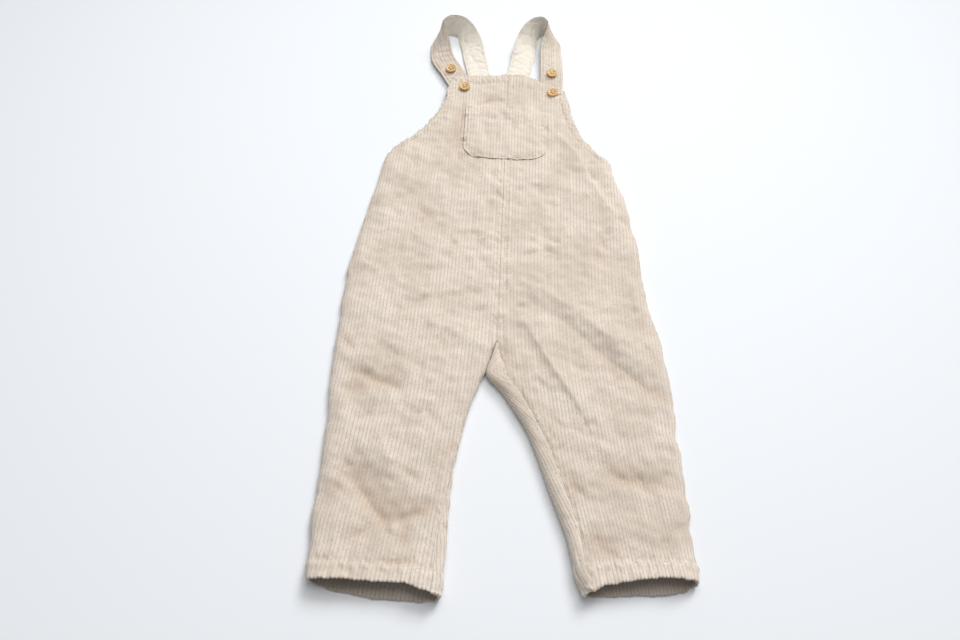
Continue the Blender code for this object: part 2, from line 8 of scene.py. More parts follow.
import bpy
import numpy as np
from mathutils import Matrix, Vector

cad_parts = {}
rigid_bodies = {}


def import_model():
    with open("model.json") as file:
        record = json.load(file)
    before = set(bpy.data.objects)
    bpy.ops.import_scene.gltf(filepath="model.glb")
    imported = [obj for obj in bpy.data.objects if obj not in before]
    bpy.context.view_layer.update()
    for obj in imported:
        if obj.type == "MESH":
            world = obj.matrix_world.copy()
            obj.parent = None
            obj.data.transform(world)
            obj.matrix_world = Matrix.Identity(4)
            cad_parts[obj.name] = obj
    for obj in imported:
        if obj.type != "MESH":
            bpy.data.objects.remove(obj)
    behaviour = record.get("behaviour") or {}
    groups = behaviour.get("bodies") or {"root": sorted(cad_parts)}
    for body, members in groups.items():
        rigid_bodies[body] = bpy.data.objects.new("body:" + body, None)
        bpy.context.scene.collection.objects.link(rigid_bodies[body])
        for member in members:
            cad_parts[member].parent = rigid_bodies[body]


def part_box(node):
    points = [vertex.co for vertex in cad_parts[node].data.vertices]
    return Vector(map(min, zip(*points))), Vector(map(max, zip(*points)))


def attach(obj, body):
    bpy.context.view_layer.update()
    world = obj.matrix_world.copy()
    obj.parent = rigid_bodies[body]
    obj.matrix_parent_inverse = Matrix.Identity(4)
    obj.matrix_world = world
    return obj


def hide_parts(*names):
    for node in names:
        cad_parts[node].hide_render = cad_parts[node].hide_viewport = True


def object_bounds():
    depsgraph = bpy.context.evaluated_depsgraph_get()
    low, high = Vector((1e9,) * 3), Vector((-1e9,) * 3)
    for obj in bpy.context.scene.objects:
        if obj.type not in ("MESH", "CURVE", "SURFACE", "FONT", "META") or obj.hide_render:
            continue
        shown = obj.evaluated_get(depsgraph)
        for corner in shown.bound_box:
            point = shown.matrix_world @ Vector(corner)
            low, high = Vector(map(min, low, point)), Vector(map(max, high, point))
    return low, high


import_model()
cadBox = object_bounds()

mm = 0.001
sides = ("left", "right")
outwardOf = {"left": -1.0, "right": 1.0}

# The crotch point in the frame: the left front's inner edge stands half a seam gap to its
# left, and the same panel's lowest hem corner 222 mm below it
seamGap = 0.35                  # between the solids
sewnGap = 0.06                  # between the finished panels, where thread holds them together
lowestHem = -222.0
panelLow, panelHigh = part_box("front_panel_left")
crotch = np.array((panelHigh.x + seamGap / 2 * mm, panelLow.y - lowestHem * mm, 0.0))


# Small tools

def smoothStep(value, low, high):
    # 0 below low, 1 above high, and a soft s-shaped rise between them
    t = np.clip((value - low) / (high - low), 0, 1)
    return t * t * (3 - 2 * t)


def smoothRead(places, table, wanted):
    # Cubic curve through the rows of a table that never overshoots: the slope at a row is
    # the harmonic mean of the slopes on its two sides, or nought at a turning point
    places = np.asarray(places, float)
    values = np.asarray(table, float).reshape(len(places), -1)
    gaps = np.diff(places)[:, None]
    steps = np.diff(values, axis=0) / gaps
    product = steps[1:] * steps[:-1]
    total = steps[1:] + steps[:-1]
    mean = np.where(product > 0, 2 * product / np.where(total == 0, 1, total), 0)
    slopes = np.concatenate((steps[:1], mean, steps[-1:]))
    wanted = np.clip(wanted, places[0], places[-1])
    cell = np.clip(np.searchsorted(places, wanted, side="right") - 1, 0, len(gaps) - 1)
    t = ((wanted - places[cell]) / gaps[cell, 0])[:, None]
    low = values[cell] * (2 * t**3 - 3 * t**2 + 1) + slopes[cell] * gaps[cell] * (t**3 - 2 * t**2 + t)
    high = values[cell + 1] * (3 * t**2 - 2 * t**3) + slopes[cell + 1] * gaps[cell] * (t**3 - t**2)
    return low + high


def ripple(x, y, size, seed, stretch=1.0, waves=18):
    # Sum of plane waves in seeded directions, each about size long, scaled to about -1..1;
    # stretch draws the pattern out along y
    draw = np.random.default_rng(seed)
    total = np.zeros(np.broadcast(x, y).shape)
    for _ in range(waves):
        angle = draw.uniform(0, 2 * math.pi)
        number = 2 * math.pi / (size * draw.uniform(0.65, 1.6))
        across = number * math.cos(angle)
        along = number * math.sin(angle) / stretch
        total += np.sin(x * across + y * along + draw.uniform(0, 2 * math.pi))
    return total / math.sqrt(waves / 2) / 1.6


def creased(noise, sharpness):
    # Thin valleys, 1 deep, where a smooth noise crosses nought
    return -np.clip(1 - np.abs(noise), 0, 1) ** sharpness


def unit(vectors):
    return vectors / np.maximum(np.linalg.norm(vectors, axis=-1, keepdims=True), 1e-9)


def running(line):
    # Length along a line up to each of its points
    return np.concatenate(([0], np.cumsum(np.linalg.norm(np.diff(line, axis=0), axis=1))))


def surfaceNormals(points):
    # Cross product of the grid's two gradients
    return unit(np.cross(np.gradient(points, axis=0), np.gradient(points, axis=1)))


def addMesh(name, points, faces, uv=None, materials=(), materialIndex=None):
    # A mesh from points in garment millimetres and faces of three or more corners
    mesh = bpy.data.meshes.new(name)
    mesh.from_pydata((points * mm + crotch).tolist(), [], faces)
    for material in materials:
        mesh.materials.append(material)
    if materialIndex is not None:
        mesh.polygons.foreach_set("material_index", np.asarray(materialIndex, np.int32))
    if uv is not None:
        corner = np.zeros(len(mesh.loops), np.int32)
        mesh.loops.foreach_get("vertex_index", corner)
        layer = mesh.uv_layers.new(name="cloth")
        layer.data.foreach_set("uv", (uv[corner] * mm).astype(np.float32).ravel())
    mesh.update()
    mesh.shade_smooth()
    piece = bpy.data.objects.new(name, mesh)
    bpy.context.scene.collection.objects.link(piece)
    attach(piece, "root")
    return piece


def gridFaces(index):
    # Quads between the neighbours of a grid; corners that fall together leave a triangle
    a, b = index[:-1, :-1].ravel(), index[:-1, 1:].ravel()
    c, d = index[1:, 1:].ravel(), index[1:, :-1].ravel()
    quads = np.stack((a, b, c, d), axis=1)[(a != b) & (c != d)]
    triangles = np.concatenate((np.stack((a, b, c), axis=1)[(a != b) & (c == d)],
                                np.stack((a, c, d), axis=1)[(a == b) & (c != d)]))
    return quads, triangles


def edgeLoop(index):
    # Once round a grid, without the corners that fall together
    loop = np.concatenate((index[0, :-1], index[:-1, -1], index[-1, :0:-1], index[:0:-1, 0]))
    return loop[loop != np.roll(loop, 1)]


def everyNth(count, step):
    # Places 0, step, 2 step and so on, and always the last
    return np.unique(np.append(np.arange(0, count, step), count - 1))


def shellFaces(index, rowStep=1, columnStep=1):
    # A closed sheet over the grid of index. The inner face takes only some rows and columns
    # and is turned round. Along the edge a fan joins each of its corners to the outer
    # corners up to the next one. Returns the faces and which outer corners have an inner
    # one; the inner corners follow the outer ones in that order.
    quads, triangles = gridFaces(index)
    coarse = index[np.ix_(everyNth(index.shape[0], rowStep), everyNth(index.shape[1], columnStep))]
    kept = np.unique(coarse)
    renamed = np.zeros(index.max() + 1, int)
    renamed[kept] = np.arange(kept.size) + index.max() + 1
    innerQuads, innerTriangles = gridFaces(renamed[coarse])
    edge = edgeLoop(index)
    onInner = np.isin(edge, edgeLoop(coarse))
    partner = renamed[edge[np.maximum.accumulate(np.where(onInner, np.arange(edge.size), 0))]]
    after, nextPartner = np.roll(edge, -1), np.roll(partner, -1)
    rim = np.stack((after, edge, partner), axis=1).tolist()
    turned = partner != nextPartner
    rim += np.stack((after, partner, nextPartner), axis=1)[turned].tolist()
    outer = quads.tolist() + triangles.tolist()
    inner = innerQuads[:, ::-1].tolist() + innerTriangles[:, ::-1].tolist()
    return outer, inner, rim, kept


def roundedDrop(distance, radius):
    # How far a cut edge rounded to a radius falls away at a distance from the edge
    past = np.clip(1 - distance / radius, 0, 1)
    return radius * (1 - np.sqrt(1 - past**2))


def addSheet(name, index, outerPoints, innerPoints, normals, uv, materials, innerMaterial=0,
             steps=(1, 1)):
    # A closed sheet of cloth from its two faces; innerMaterial gives the slot of the inner
    # faces, one for all or one for each corner
    outer, inner, rim, kept = shellFaces(index, *steps)
    points = np.concatenate((outerPoints, innerPoints[kept]))
    corners = points[np.array(outer[len(outer) // 2][:3])]
    looks = np.cross(corners[1] - corners[0], corners[2] - corners[0])
    if looks @ normals[outer[len(outer) // 2][0]] < 0:
        outer, inner, rim = ([face[::-1] for face in faces] for faces in (outer, inner, rim))
    innerSlots = np.broadcast_to(innerMaterial, len(outerPoints))
    firstCorner = kept[np.array([face[0] for face in inner]) - len(outerPoints)]
    materialIndex = np.concatenate((np.zeros(len(outer), int), innerSlots[firstCorner],
                                    np.zeros(len(rim), int)))
    bothUv = np.concatenate((uv, uv[kept]))
    return addMesh(name, points, outer + inner + rim, bothUv, materials, materialIndex)


# Materials

def hexColour(text):
    # An sRGB hex colour as linear red, green, blue and alpha
    values = [int(text[k:k + 2], 16) / 255 for k in (0, 2, 4)]
    linear = [v / 12.92 if v <= 0.04045 else ((v + 0.055) / 1.055) ** 2.4 for v in values]
    return (*linear, 1.0)


def addNode(tree, kind, settings=(), inputs=()):
    # Adds a shader node, sets its properties, and links or sets its inputs
    node = tree.nodes.new("ShaderNode" + kind)
    for name, value in dict(settings).items():
        setattr(node, name, value)
    for name, value in dict(inputs).items():
        if isinstance(value, bpy.types.NodeSocket):
            tree.links.new(value, node.inputs[name])
        else:
            node.inputs[name].default_value = value
    return node


def newMaterial(name, shaderInputs):
    material = bpy.data.materials.new(name)
    material.use_nodes = True
    tree = material.node_tree
    shader = tree.nodes["Principled BSDF"]
    for socket, value in shaderInputs.items():
        shader.inputs[socket].default_value = value
    return material, tree, shader


corduroyLook = {
    "cord": "E4DACF",           # top of the pile
    "cordDeep": "D1C5B8",       # pile that is crushed or lies the other way
    "valley": "CCBDAE",         # woven ground between the cords
    "walePitch": 3.175,         # eight wales to the inch
    "tuft": 0.8,                # mm across one tuft of pile
    "tuftLength": 2.2,
    "ragged": 2.6,              # mm, unevenness of the cords' edges
    "cloudSize": 42.0,          # mm, soft patches of crushed pile
    "crease": "B79E88",         # painted shade at the bottom of a crease, where the pile also closes up
    "creaseShadeShare": 0.42,
    "pileHeight": 0.16,         # mm, bump of the tufts
}


def corduroyMaterial(name, look, brightness=1.0):
    # Cut-pile cotton: matt, with a soft pale sheen at a glancing view, darker woven ground
    # in the valleys, and uneven tufts along each cord. The fold attribute mixes in painted
    # shade at the bottom of creases, and a brightness below 1 darkens all of it as painted shade
    material, tree, shader = newMaterial(name, {
        "Roughness": 0.92, "Sheen Weight": 0.22, "Sheen Roughness": 0.55,
        "Sheen Tint": hexColour("FFF6EA"), "Specular IOR Level": 0.2})
    place = addNode(tree, "UVMap", {"uv_map": "cloth"}).outputs["UV"]
    split = addNode(tree, "SeparateXYZ", inputs={"Vector": place})
    cords = addNode(tree, "Math", {"operation": "MULTIPLY"},
                    {0: split.outputs["X"], 1: 1 / (look["walePitch"] * mm)})
    swing = addNode(tree, "Math", {"operation": "PINGPONG"}, {0: cords.outputs[0], 1: 0.5})
    ragged = addNode(tree, "TexNoise", inputs={"Vector": place, "Detail": 2.0,
                                               "Scale": 1 / (look["ragged"] * mm)})
    edge = addNode(tree, "Math", {"operation": "MULTIPLY_ADD"},
                   {0: ragged.outputs["Fac"], 1: 0.36, 2: swing.outputs[0]})
    onCord = addNode(tree, "MapRange", {"interpolation_type": "SMOOTHSTEP"},
                     {"Value": edge.outputs[0], "From Min": 0.16, "From Max": 0.42})
    tuftScale = (1 / (look["tuft"] * mm), 1 / (look["tuftLength"] * mm), 1.0)
    tuftPlace = addNode(tree, "Mapping", inputs={"Vector": place, "Scale": tuftScale})
    tufts = addNode(tree, "TexNoise", inputs={"Vector": tuftPlace.outputs[0], "Scale": 1.0,
                                              "Detail": 2.0, "Roughness": 0.6})
    streakPlace = addNode(tree, "Mapping", inputs={"Vector": place, "Scale": (310.0, 24.0, 1.0)})
    streaks = addNode(tree, "TexNoise", inputs={"Vector": streakPlace.outputs[0], "Scale": 1.0,
                                                "Detail": 3.0})
    where = addNode(tree, "TexCoord").outputs["Object"]
    clouds = addNode(tree, "TexNoise", inputs={"Vector": where, "Detail": 4.0, "Roughness": 0.6,
                                               "Scale": 1 / (look["cloudSize"] * mm)})
    crushed = addNode(tree, "Math", {"operation": "MULTIPLY_ADD"},
                      {0: streaks.outputs["Fac"], 1: 0.55, 2: clouds.outputs["Fac"]})
    crushedShare = addNode(tree, "MapRange", {"interpolation_type": "SMOOTHSTEP"},
                           {"Value": crushed.outputs[0], "From Min": 0.55, "From Max": 1.05})
    pile = addNode(tree, "Mix", {"data_type": "RGBA"},
                   {"Factor": crushedShare.outputs[0], "A": hexColour(look["cord"]),
                    "B": hexColour(look["cordDeep"])})
    # a brightness below 1 paints shade over the whole colour
    speck = addNode(tree, "MapRange", inputs={"Value": tufts.outputs["Fac"], "From Min": 0.3,
                                              "From Max": 0.7, "To Min": 0.84 * brightness,
                                              "To Max": 1.09 * brightness})
    ground = addNode(tree, "Mix", {"data_type": "RGBA"},
                     {"Factor": onCord.outputs[0], "A": hexColour(look["valley"]),
                      "B": pile.outputs["Result"]})
    # painted shade: how deep the crease is at a point, from the fold attribute, mixes in the crease colour
    fold = addNode(tree, "Attribute", {"attribute_name": "fold"})
    share = addNode(tree, "Math", {"operation": "MULTIPLY"},
                    {0: fold.outputs["Fac"], 1: look["creaseShadeShare"]})
    creaseShadedCloth = addNode(tree, "Mix", {"data_type": "RGBA"},
                           {"Factor": share.outputs[0], "A": ground.outputs["Result"],
                            "B": hexColour(look["crease"])})
    colour = addNode(tree, "VectorMath", {"operation": "SCALE"},
                     {0: creaseShadedCloth.outputs["Result"], "Scale": speck.outputs[0]})
    tree.links.new(colour.outputs[0], shader.inputs["Base Color"])
    bump = addNode(tree, "Bump", inputs={"Height": tufts.outputs["Fac"], "Strength": 0.8,
                                         "Distance": look["pileHeight"] * mm})
    tree.links.new(bump.outputs[0], shader.inputs["Normal"])
    return material


def twillMaterial(name, light, dark, thread=0.7):
    # Plain cotton twill: matt, fine slanting ribs, a trace of slub
    material, tree, shader = newMaterial(name, {
        "Roughness": 0.88, "Sheen Weight": 0.12, "Sheen Roughness": 0.5,
        "Specular IOR Level": 0.25})
    place = addNode(tree, "UVMap", {"uv_map": "cloth"}).outputs["UV"]
    ribs = addNode(tree, "TexWave", {"wave_type": "BANDS", "bands_direction": "DIAGONAL"},
                   {"Vector": place, "Scale": 0.32 / (thread * mm), "Distortion": 1.2,
                    "Detail": 2.0, "Detail Scale": 2.0})
    where = addNode(tree, "TexCoord").outputs["Object"]
    slub = addNode(tree, "TexNoise", inputs={"Vector": where, "Scale": 160.0, "Detail": 5.0})
    amount = addNode(tree, "Math", {"operation": "MULTIPLY"},
                     {0: ribs.outputs["Fac"], 1: slub.outputs["Fac"]})
    colour = addNode(tree, "Mix", {"data_type": "RGBA"},
                     {"Factor": amount.outputs[0], "A": hexColour(dark), "B": hexColour(light)})
    tree.links.new(colour.outputs["Result"], shader.inputs["Base Color"])
    bump = addNode(tree, "Bump", inputs={"Height": ribs.outputs["Fac"], "Strength": 0.5,
                                         "Distance": 0.12 * mm})
    tree.links.new(bump.outputs[0], shader.inputs["Normal"])
    return material


def threadMaterial(name, colour):
    # Spun polyester sewing thread: a slight gloss on its twisted plies
    material, tree, shader = newMaterial(name, {"Roughness": 0.6, "Sheen Weight": 0.2})
    where = addNode(tree, "TexCoord").outputs["Object"]
    plies = addNode(tree, "TexNoise", inputs={"Vector": where, "Scale": 1 / (0.5 * mm)})
    shade = addNode(tree, "MapRange", inputs={"Value": plies.outputs["Fac"], "To Min": 0.82,
                                              "To Max": 1.1})
    base = addNode(tree, "VectorMath", {"operation": "SCALE"},
                   {0: hexColour(colour)[:3], "Scale": shade.outputs[0]})
    tree.links.new(base.outputs[0], shader.inputs["Base Color"])
    return material


def woodMaterial(name, light, dark):
    # Turned pale wood under thin varnish: straight grain, a soft gloss on the rim
    material, tree, shader = newMaterial(name, {
        "Roughness": 0.42, "Coat Weight": 0.25, "Coat Roughness": 0.3, "IOR": 1.5})
    where = addNode(tree, "TexCoord").outputs["Object"]
    along = addNode(tree, "Mapping", inputs={"Vector": where, "Rotation": (0, 0, 0.5),
                                             "Scale": (0.25, 1.0, 1.0)})
    grain = addNode(tree, "TexNoise", inputs={"Vector": along.outputs[0], "Detail": 4.0,
                                              "Scale": 1 / (1.1 * mm), "Distortion": 0.4})
    share = addNode(tree, "MapRange", inputs={"Value": grain.outputs["Fac"], "From Min": 0.35,
                                              "From Max": 0.65})
    colour = addNode(tree, "Mix", {"data_type": "RGBA"},
                     {"Factor": share.outputs[0], "A": hexColour(dark), "B": hexColour(light)})
    tree.links.new(colour.outputs["Result"], shader.inputs["Base Color"])
    return material


corduroy = corduroyMaterial("wide wale cotton corduroy", corduroyLook)
# painted shade: the pile turned up inside the hems, at 0.62 of the brightness, stands for the shade in the hem
# openings
hemCorduroyPaintedShade = corduroyMaterial("corduroy inside the hems, darkened as painted shade", corduroyLook, 0.62)
backing = twillMaterial("woven back of the corduroy", "CDBFAD", "B4A48F")
lining = twillMaterial("off-white cotton twill", "F8F4EC", "E9E3D7")
thread = threadMaterial("beige sewing thread", "E4D9C8")
buttonThread = threadMaterial("pale button thread", "F7F2E8")
wood = woodMaterial("varnished turned wood", "E3C187", "C89E5E")
print("materials made")


# Cut of the garment

# Height of the front's outer face above the table
crownY = (-215, -200, -180, -150, 195, 232, 290, 340)
crownZ = (15.5, 14.0, 11.5, 10.8, 10.8, 9.8, 9.4, 9.4)

sectionShape = {
    "sideRoll": 16.0,           # width over which the front rounds down to the side seam
    "foldRoll": 8.0,            # the same at the inner fold of a leg
    "underRoll": 7.0,           # width over which the back rounds up from the table
    "seamHeight": 0.45,         # height of the side seam as a share of the crown
    "openTilt": 25.0,           # where on its roll an open armhole edge starts, degrees
    "backInset": 1.5,           # the back lies this far inside the front at the armholes
    "crotchEase": 0.8,          # extra gap at the inseam as it runs into the crotch point
    "crotchTuck": 4.2,          # the back's edge starts this far under the crotch point
    "clothWall": 1.6,
}

# y: place at the outer edge. outer: side seam or armhole. inner: centre line or inner fold
# of the leg. wrap: how far the back comes over the fold onto the top. roll: 1 where the
# front rounds down to the inner fold. rise: 1 where the back rounds up to it. opened: 1
# along the armhole, and more at the corners of the bib.
Section = namedtuple("Section", "y outer inner wrap roll rise opened")

# The places in the section, hem and top tables were worked out by another script and
# rounded, as report.md says.
leftSections = (
    (-215, -139, -35.5, 12, 1, 1, 0),
    (-203, -140, -34, 12, 1, 1, 0),
    (-201, -140, -34, 12, 1, 1, 0),
    (-183, -141, -33, 11, 1, 1, 0),
    (-158, -142, -33, 8, 1, 1, 0),
    (-128, -142, -32, 2, 1, 1, 0),
    (-101, -142, -28, 0, 1, 1, 0),
    (-78, -142, -24, 0, 1, 1, 0),
    (-56, -144, -18, 0, 1, 1, 0),
    (-31, -145, -9, 0, 1, 1, 0),
    (-14, -145, -4, 0, 0.8, 1, 0),
    (-7, -145, -2, 0, 0.4, 1, 0),
    (0, -145, 0, 0, 0, 1, 0),
    (6, -145, 0, 0, 0, 0.5, 0),
    (12, -145, 0, 0, 0, 0, 0),
    (50, -145, 0, 0, 0, 0, 0),
    (78, -144, 0, 0, 0, 0, 0),
    (105, -140, 0, 0, 0, 0, 0),
    (151, -133, 0, 0, 0, 0, 0),
    (190, -127, 0, 0, 0, 0, 0),
    (211, -124, 0, 0, 0, 0, 0),
    (219, -121, 0, 0, 0, 0, 0.5),
    (228, -115, 0, 0, 0, 0, 1),
    (237, -106, 0, 0, 0, 0, 1),
    (249, -94, 0, 0, 0, 0, 1),
    (262, -84, 0, 0, 0, 0, 1),
    (277, -76, 0, 0, 0, 0, 1),
    (294, -70, 0, 0, 0, 0, 1.8),
    (309, -66, 0, 0, 0, 0, 3.6),
    (324, -63.5, 0, 0, 0, 0, 3.6),
    (334, -58, 0, 0, 0, 0, 3.6),
)

rightSections = (
    (-204, 162, 74, 12, 1, 1, 0),
    (-194, 162, 68, 12, 1, 1, 0),
    (-192, 162, 67, 12, 1, 1, 0),
    (-168, 160, 59, 15, 1, 1, 0),
    (-139, 159, 48, 16, 1, 1, 0),
    (-110, 157, 38, 16, 1, 1, 0),
    (-87, 155, 29, 15, 1, 1, 0),
    (-65, 154, 16, 17, 1, 1, 0),
    (-50, 154, 6, 18, 1, 1, 0),
    (-31, 152, -9, 21, 1, 1, 0),
    (-14, 149, -4, 8, 0.8, 1, 0),
    (-7, 148.5, -2, 3.5, 0.4, 1, 0),
    (0, 148, 0, 0, 0, 1, 0),
    (6, 147, 0, 0, 0, 0.5, 0),
    (12, 146, 0, 0, 0, 0, 0),
    (35, 140, 0, 0, 0, 0, 0),
    (77, 134, 0, 0, 0, 0, 0),
    (105, 133, 0, 0, 0, 0, 0),
    (133, 127, 0, 0, 0, 0, 0),
    (163, 123, 0, 0, 0, 0, 0),
    (183, 117, 0, 0, 0, 0, 0),
    (193, 113.5, 0, 0, 0, 0, 0),
    (201, 112, 0, 0, 0, 0, 0.5),
    (211, 109, 0, 0, 0, 0, 1),
    (223, 102, 0, 0, 0, 0, 1),
    (233, 92, 0, 0, 0, 0, 1),
    (250, 81, 0, 0, 0, 0, 1),
    (275, 71, 0, 0, 0, 0, 1.3),
    (292, 67.5, 0, 0, 0, 0, 2.6),
    (306, 64.5, 0, 0, 0, 0, 3.6),
    (319, 59, 0, 0, 0, 0, 3.6),
)
sectionsOf = {"left": np.array(leftSections, float), "right": np.array(rightSections, float)}

# Cut edges: share of the way in from the outer edge, then y
frontHem = {"left": ((0, 0.8, 1), (-215, -216, -222)),
            "right": ((0, 0.35, 0.9, 1), (-204, -202, -210, -215))}
backHem = {"left": ((0, 0.2, 0.45, 0.75, 0.9, 1), (-214, -222, -226, -227, -225, -222)),
           "right": ((0, 0.15, 0.35, 0.65, 0.9, 1), (-204, -211, -214, -216, -218, -215))}
bibTop = {"left": ((0, 0.6, 1), (334, 334, 337)),
          "right": ((0, 0.37, 0.52, 0.78, 1), (319, 326, 333, 339, 337))}
backTop = {"left": ((0, 1), (322, 325)),
           "right": ((0, 0.55, 1), (307, 325, 325))}
hemBase = -175.0                # below this the rows bend to follow the hem
topBase = 290.0                 # above this they bend to follow the top

# How far the wales lean away from the centre line on the way down: y, degrees at the
# inner edge, degrees at the outer edge
waleLean = {
    "left": ((-225, 6, 5), (-150, 6, 7), (-90, 5, 5), (-30, 3, 3), (20, 1, 1.5), (100, 0, 2), (340, 0, 0)),
    "right": ((-220, 15, 7), (-150, 15, 7), (-90, 9, 6), (-40, 8, 5), (10, 3, 2), (80, 0, 0), (340, 0, 0)),
}


def waleShift(side, y):
    # How far a wale at the inner and at the outer edge has moved out at each height: the
    # tangent of its lean added up from the top down
    table = np.array(waleLean[side], float)
    steps = np.arange(340.0, -232.0, -1.0)
    lean = np.stack([np.tan(np.radians(np.interp(steps, table[:, 0], table[:, k]))) for k in (1, 2)])
    moved = np.cumsum(lean, axis=1)
    return [np.interp(y, steps[::-1], moved[k][::-1]) for k in (0, 1)]


def crown(y):
    return np.interp(y, crownY, crownZ)


# Creases and folds of the front. Each row runs from point to point as x, y, height; reach
# is its half width on its left and on its right, looking along the run. A trough has
# heights below nought.
Crease = namedtuple("Crease", "points leftReach rightReach")
# Most of their places were worked out by another script and rounded, as report.md says.
frontCreases = (
    # right of the bib and down to the hip: a ridge with a steep, shaded hollow beside it
    Crease(((44, 262, 0), (60, 243, 2.0), (73, 223, 3.6), (85, 194, 4.2), (99, 164, 3.0),
            (128, 114, 0.4)), 4, 12),
    Crease(((80, 216, 0), (88, 196, -2.6), (94, 180, -1.0), (104, 162, 0)), 5, 4),
    Crease(((58, 185, 0), (70, 182, -1.3), (84, 176, 0)), 4, 6),
    Crease(((32, 184, 0), (38, 172, -0.9), (47, 159, 0)), 4, 5),
    Crease(((6, 165, 0), (14, 171, -0.8), (25, 177, 0)), 4, 4),
    Crease(((26, 141, 0), (37, 139, -0.9), (48, 138, 0)), 3, 5),
    Crease(((84, 125, 0), (98, 123, -1.2), (114, 120, 0)), 4, 6),
    Crease(((92, 124, 0), (98, 111, -1.9), (103, 96, 0)), 5, 5),
    Crease(((66, 101, 0), (91, 95, -1.7), (119, 90, -1.5), (131, 80, 0)), 5, 8),
    Crease(((53, 110, 0), (54, 93, -0.9), (56, 74, 0)), 4, 5),
    Crease(((77, 92, 0), (80, 73, -1.2), (83, 50, 0)), 5, 7),
    Crease(((119, 68, 0), (122, 44, -1.6), (124, 18, 0)), 6, 5),
    Crease(((102, 164, 0), (114, 156, -1.2), (124, 149, 0)), 4, 5),
    Crease(((102, 143, 0), (113, 140, -1.1), (126, 137, 0)), 4, 5),
    # left of the bib
    Crease(((-38, 250, 0), (-53, 225, -1.3), (-66, 209, -1.2), (-79, 183, -1.0), (-82, 160, 0)), 4, 8),
    Crease(((-46, 306, 0), (-48, 277, -2.6), (-49, 250, -2.2), (-62, 226, 0)), 4, 6),
    Crease(((-110, 160, 0), (-93, 162, -1.1), (-78, 162, 0)), 4, 5),
    Crease(((-118, 148, 0), (-108, 155, -1.1), (-99, 160, 0)), 4, 4),
    Crease(((-102, 149, 0), (-84, 146, -1.2), (-75, 137, -1.4), (-60, 134, 0)), 4, 7),
    Crease(((-86, 100, 0), (-86, 71, -0.9), (-84, 44, 0)), 4, 6),
    Crease(((-82, 67, 0), (-64, 74, -1.2), (-42, 79, 0)), 4, 6),
    Crease(((-104, 28, 0), (-64, 43, -1.4), (-29, 48, -1.5), (-3, 51, 0)), 5, 8),
    Crease(((-52, 8, 0), (-50, -4, -1.1), (-47, -20, 0)), 4, 5),
    Crease(((-20, 193, 0), (-12, 192, -0.9), (-4, 189, 0)), 3, 4),
    # left leg
    Crease(((-143, 2, 0), (-134, -8, -1.8), (-124, -20, 0)), 5, 4),
    Crease(((-140, -32, 0), (-112, -42, -3.0), (-90, -50, -2.4), (-74, -52, 0)), 10, 4),
    Crease(((-142, -52, 0), (-124, -55, -2.6), (-108, -54, 0)), 8, 5),
    Crease(((-112, -80, 0), (-98, -92, 2.2), (-88, -110, 3.4), (-82, -130, 0.3)), 12, 17),
    Crease(((-134, -100, 0), (-112, -112, -1.6), (-92, -128, 0)), 8, 9),
    Crease(((-132, -124, 0), (-115, -135, -2.8), (-99, -153, -4.6), (-85, -169, -4.6),
            (-76, -174, 0)), 16, 4),
    Crease(((-134, -136, 0), (-125, -142, -1.6), (-116, -149, 0)), 4, 6),
    Crease(((-84, -170, 0), (-70, -166, -3.2), (-54, -160, -3.0), (-38, -147, 0)), 9, 4),
    Crease(((-120, -187, 0), (-104, -180, -2.2), (-88, -168, 0)), 7, 4),
    Crease(((-86, -172, 0), (-72, -182, -1.5), (-56, -188, 0)), 7, 6),
    Crease(((-79, -122, 0), (-66, -129, -2.2), (-53, -139, 0)), 7, 4),
    Crease(((-27, -90, 0), (-34, -106, -2.0), (-43, -122, 0)), 5, 8),
    Crease(((-79, -72, 0), (-73, -99, -1.2), (-66, -122, 0)), 5, 6),
    Crease(((-30, -58, 0), (-32, -69, -1.0), (-33, -82, 0)), 4, 4),
    Crease(((-96, -203, 0), (-70, -202, -2.4), (-50, -196, 0)), 6, 3),
    Crease(((-124, -80, 0), (-112, -74, -0.9), (-100, -68, 0)), 5, 6),
    Crease(((-50, -52, 0), (-62, -64, 1.0), (-66, -84, 0)), 8, 8),
    # right leg: a broad fold runs from the crotch to the knee's outer side, another down
    # the inner thigh
    Crease(((0, 70, 0), (38, 55, 2.4), (70, 32, 4.0), (106, 0, 4.2), (142, -34, 0.4)), 20, 13),
    Crease(((6, 54, 0), (40, 35, -1.5), (70, 13, -2.2), (102, -18, -2.8), (126, -38, -2.2),
            (148, -60, 0)), 6, 10),
    Crease(((14, 34, 0), (36, -2, 2.6), (49, -26, 3.2), (67, -54, 3.0), (78, -74, 2.4),
            (92, -106, 0)), 13, 4),
    Crease(((66, -56, 0), (78, -78, -1.8), (90, -104, 0)), 10, 4),
    Crease(((82, -112, 0), (103, -123, -2.4), (126, -129, -2.4), (154, -122, 0)), 12, 7),
    Crease(((120, -88, 0), (128, -85, -1.3), (136, -83, 0)), 4, 5),
    Crease(((145, -88, 0), (148, -98, -1.8), (150, -109, 0)), 4, 4),
    Crease(((94, -148, 0), (108, -151, -1.2), (122, -155, 0)), 4, 4),
    Crease(((54, -110, 0), (69, -134, -2.2), (82, -150, 0)), 6, 9),
    Crease(((68, -166, 0), (86, -182, -2.6), (111, -194, 0)), 9, 6),
    Crease(((130, -36, 0), (143, -50, -1.8), (151, -62, 0)), 6, 5),
    Crease(((10, -29, 0), (24, -27, -0.9), (38, -24, 0)), 4, 5),
    Crease(((44, -78, 0), (50, -94, -1.1), (55, -108, 0)), 5, 5),
    Crease(((2, 4, 0), (6, -12, -3.4), (12, -30, 0)), 5, 4),
    # on the bib over the pocket, and where the seam presses through the pocket
    Crease(((-36, 287, 0), (-19, 297, -2.9), (-8, 298, -2.4), (0, 294, 0)), 5, 2.5),
    Crease(((4, 292, 0), (12, 293, -1.2), (19, 292, 0)), 4, 3),
    Crease(((-3, 285, 0), (-2.5, 272, -2.2), (-4, 258, -1.4), (-10, 250, -1.6), (-11, 224, 0)), 3, 4),
    Crease(((-36, 272, 0), (-20, 268, -0.9), (-6, 264, 0)), 4, 5),
)
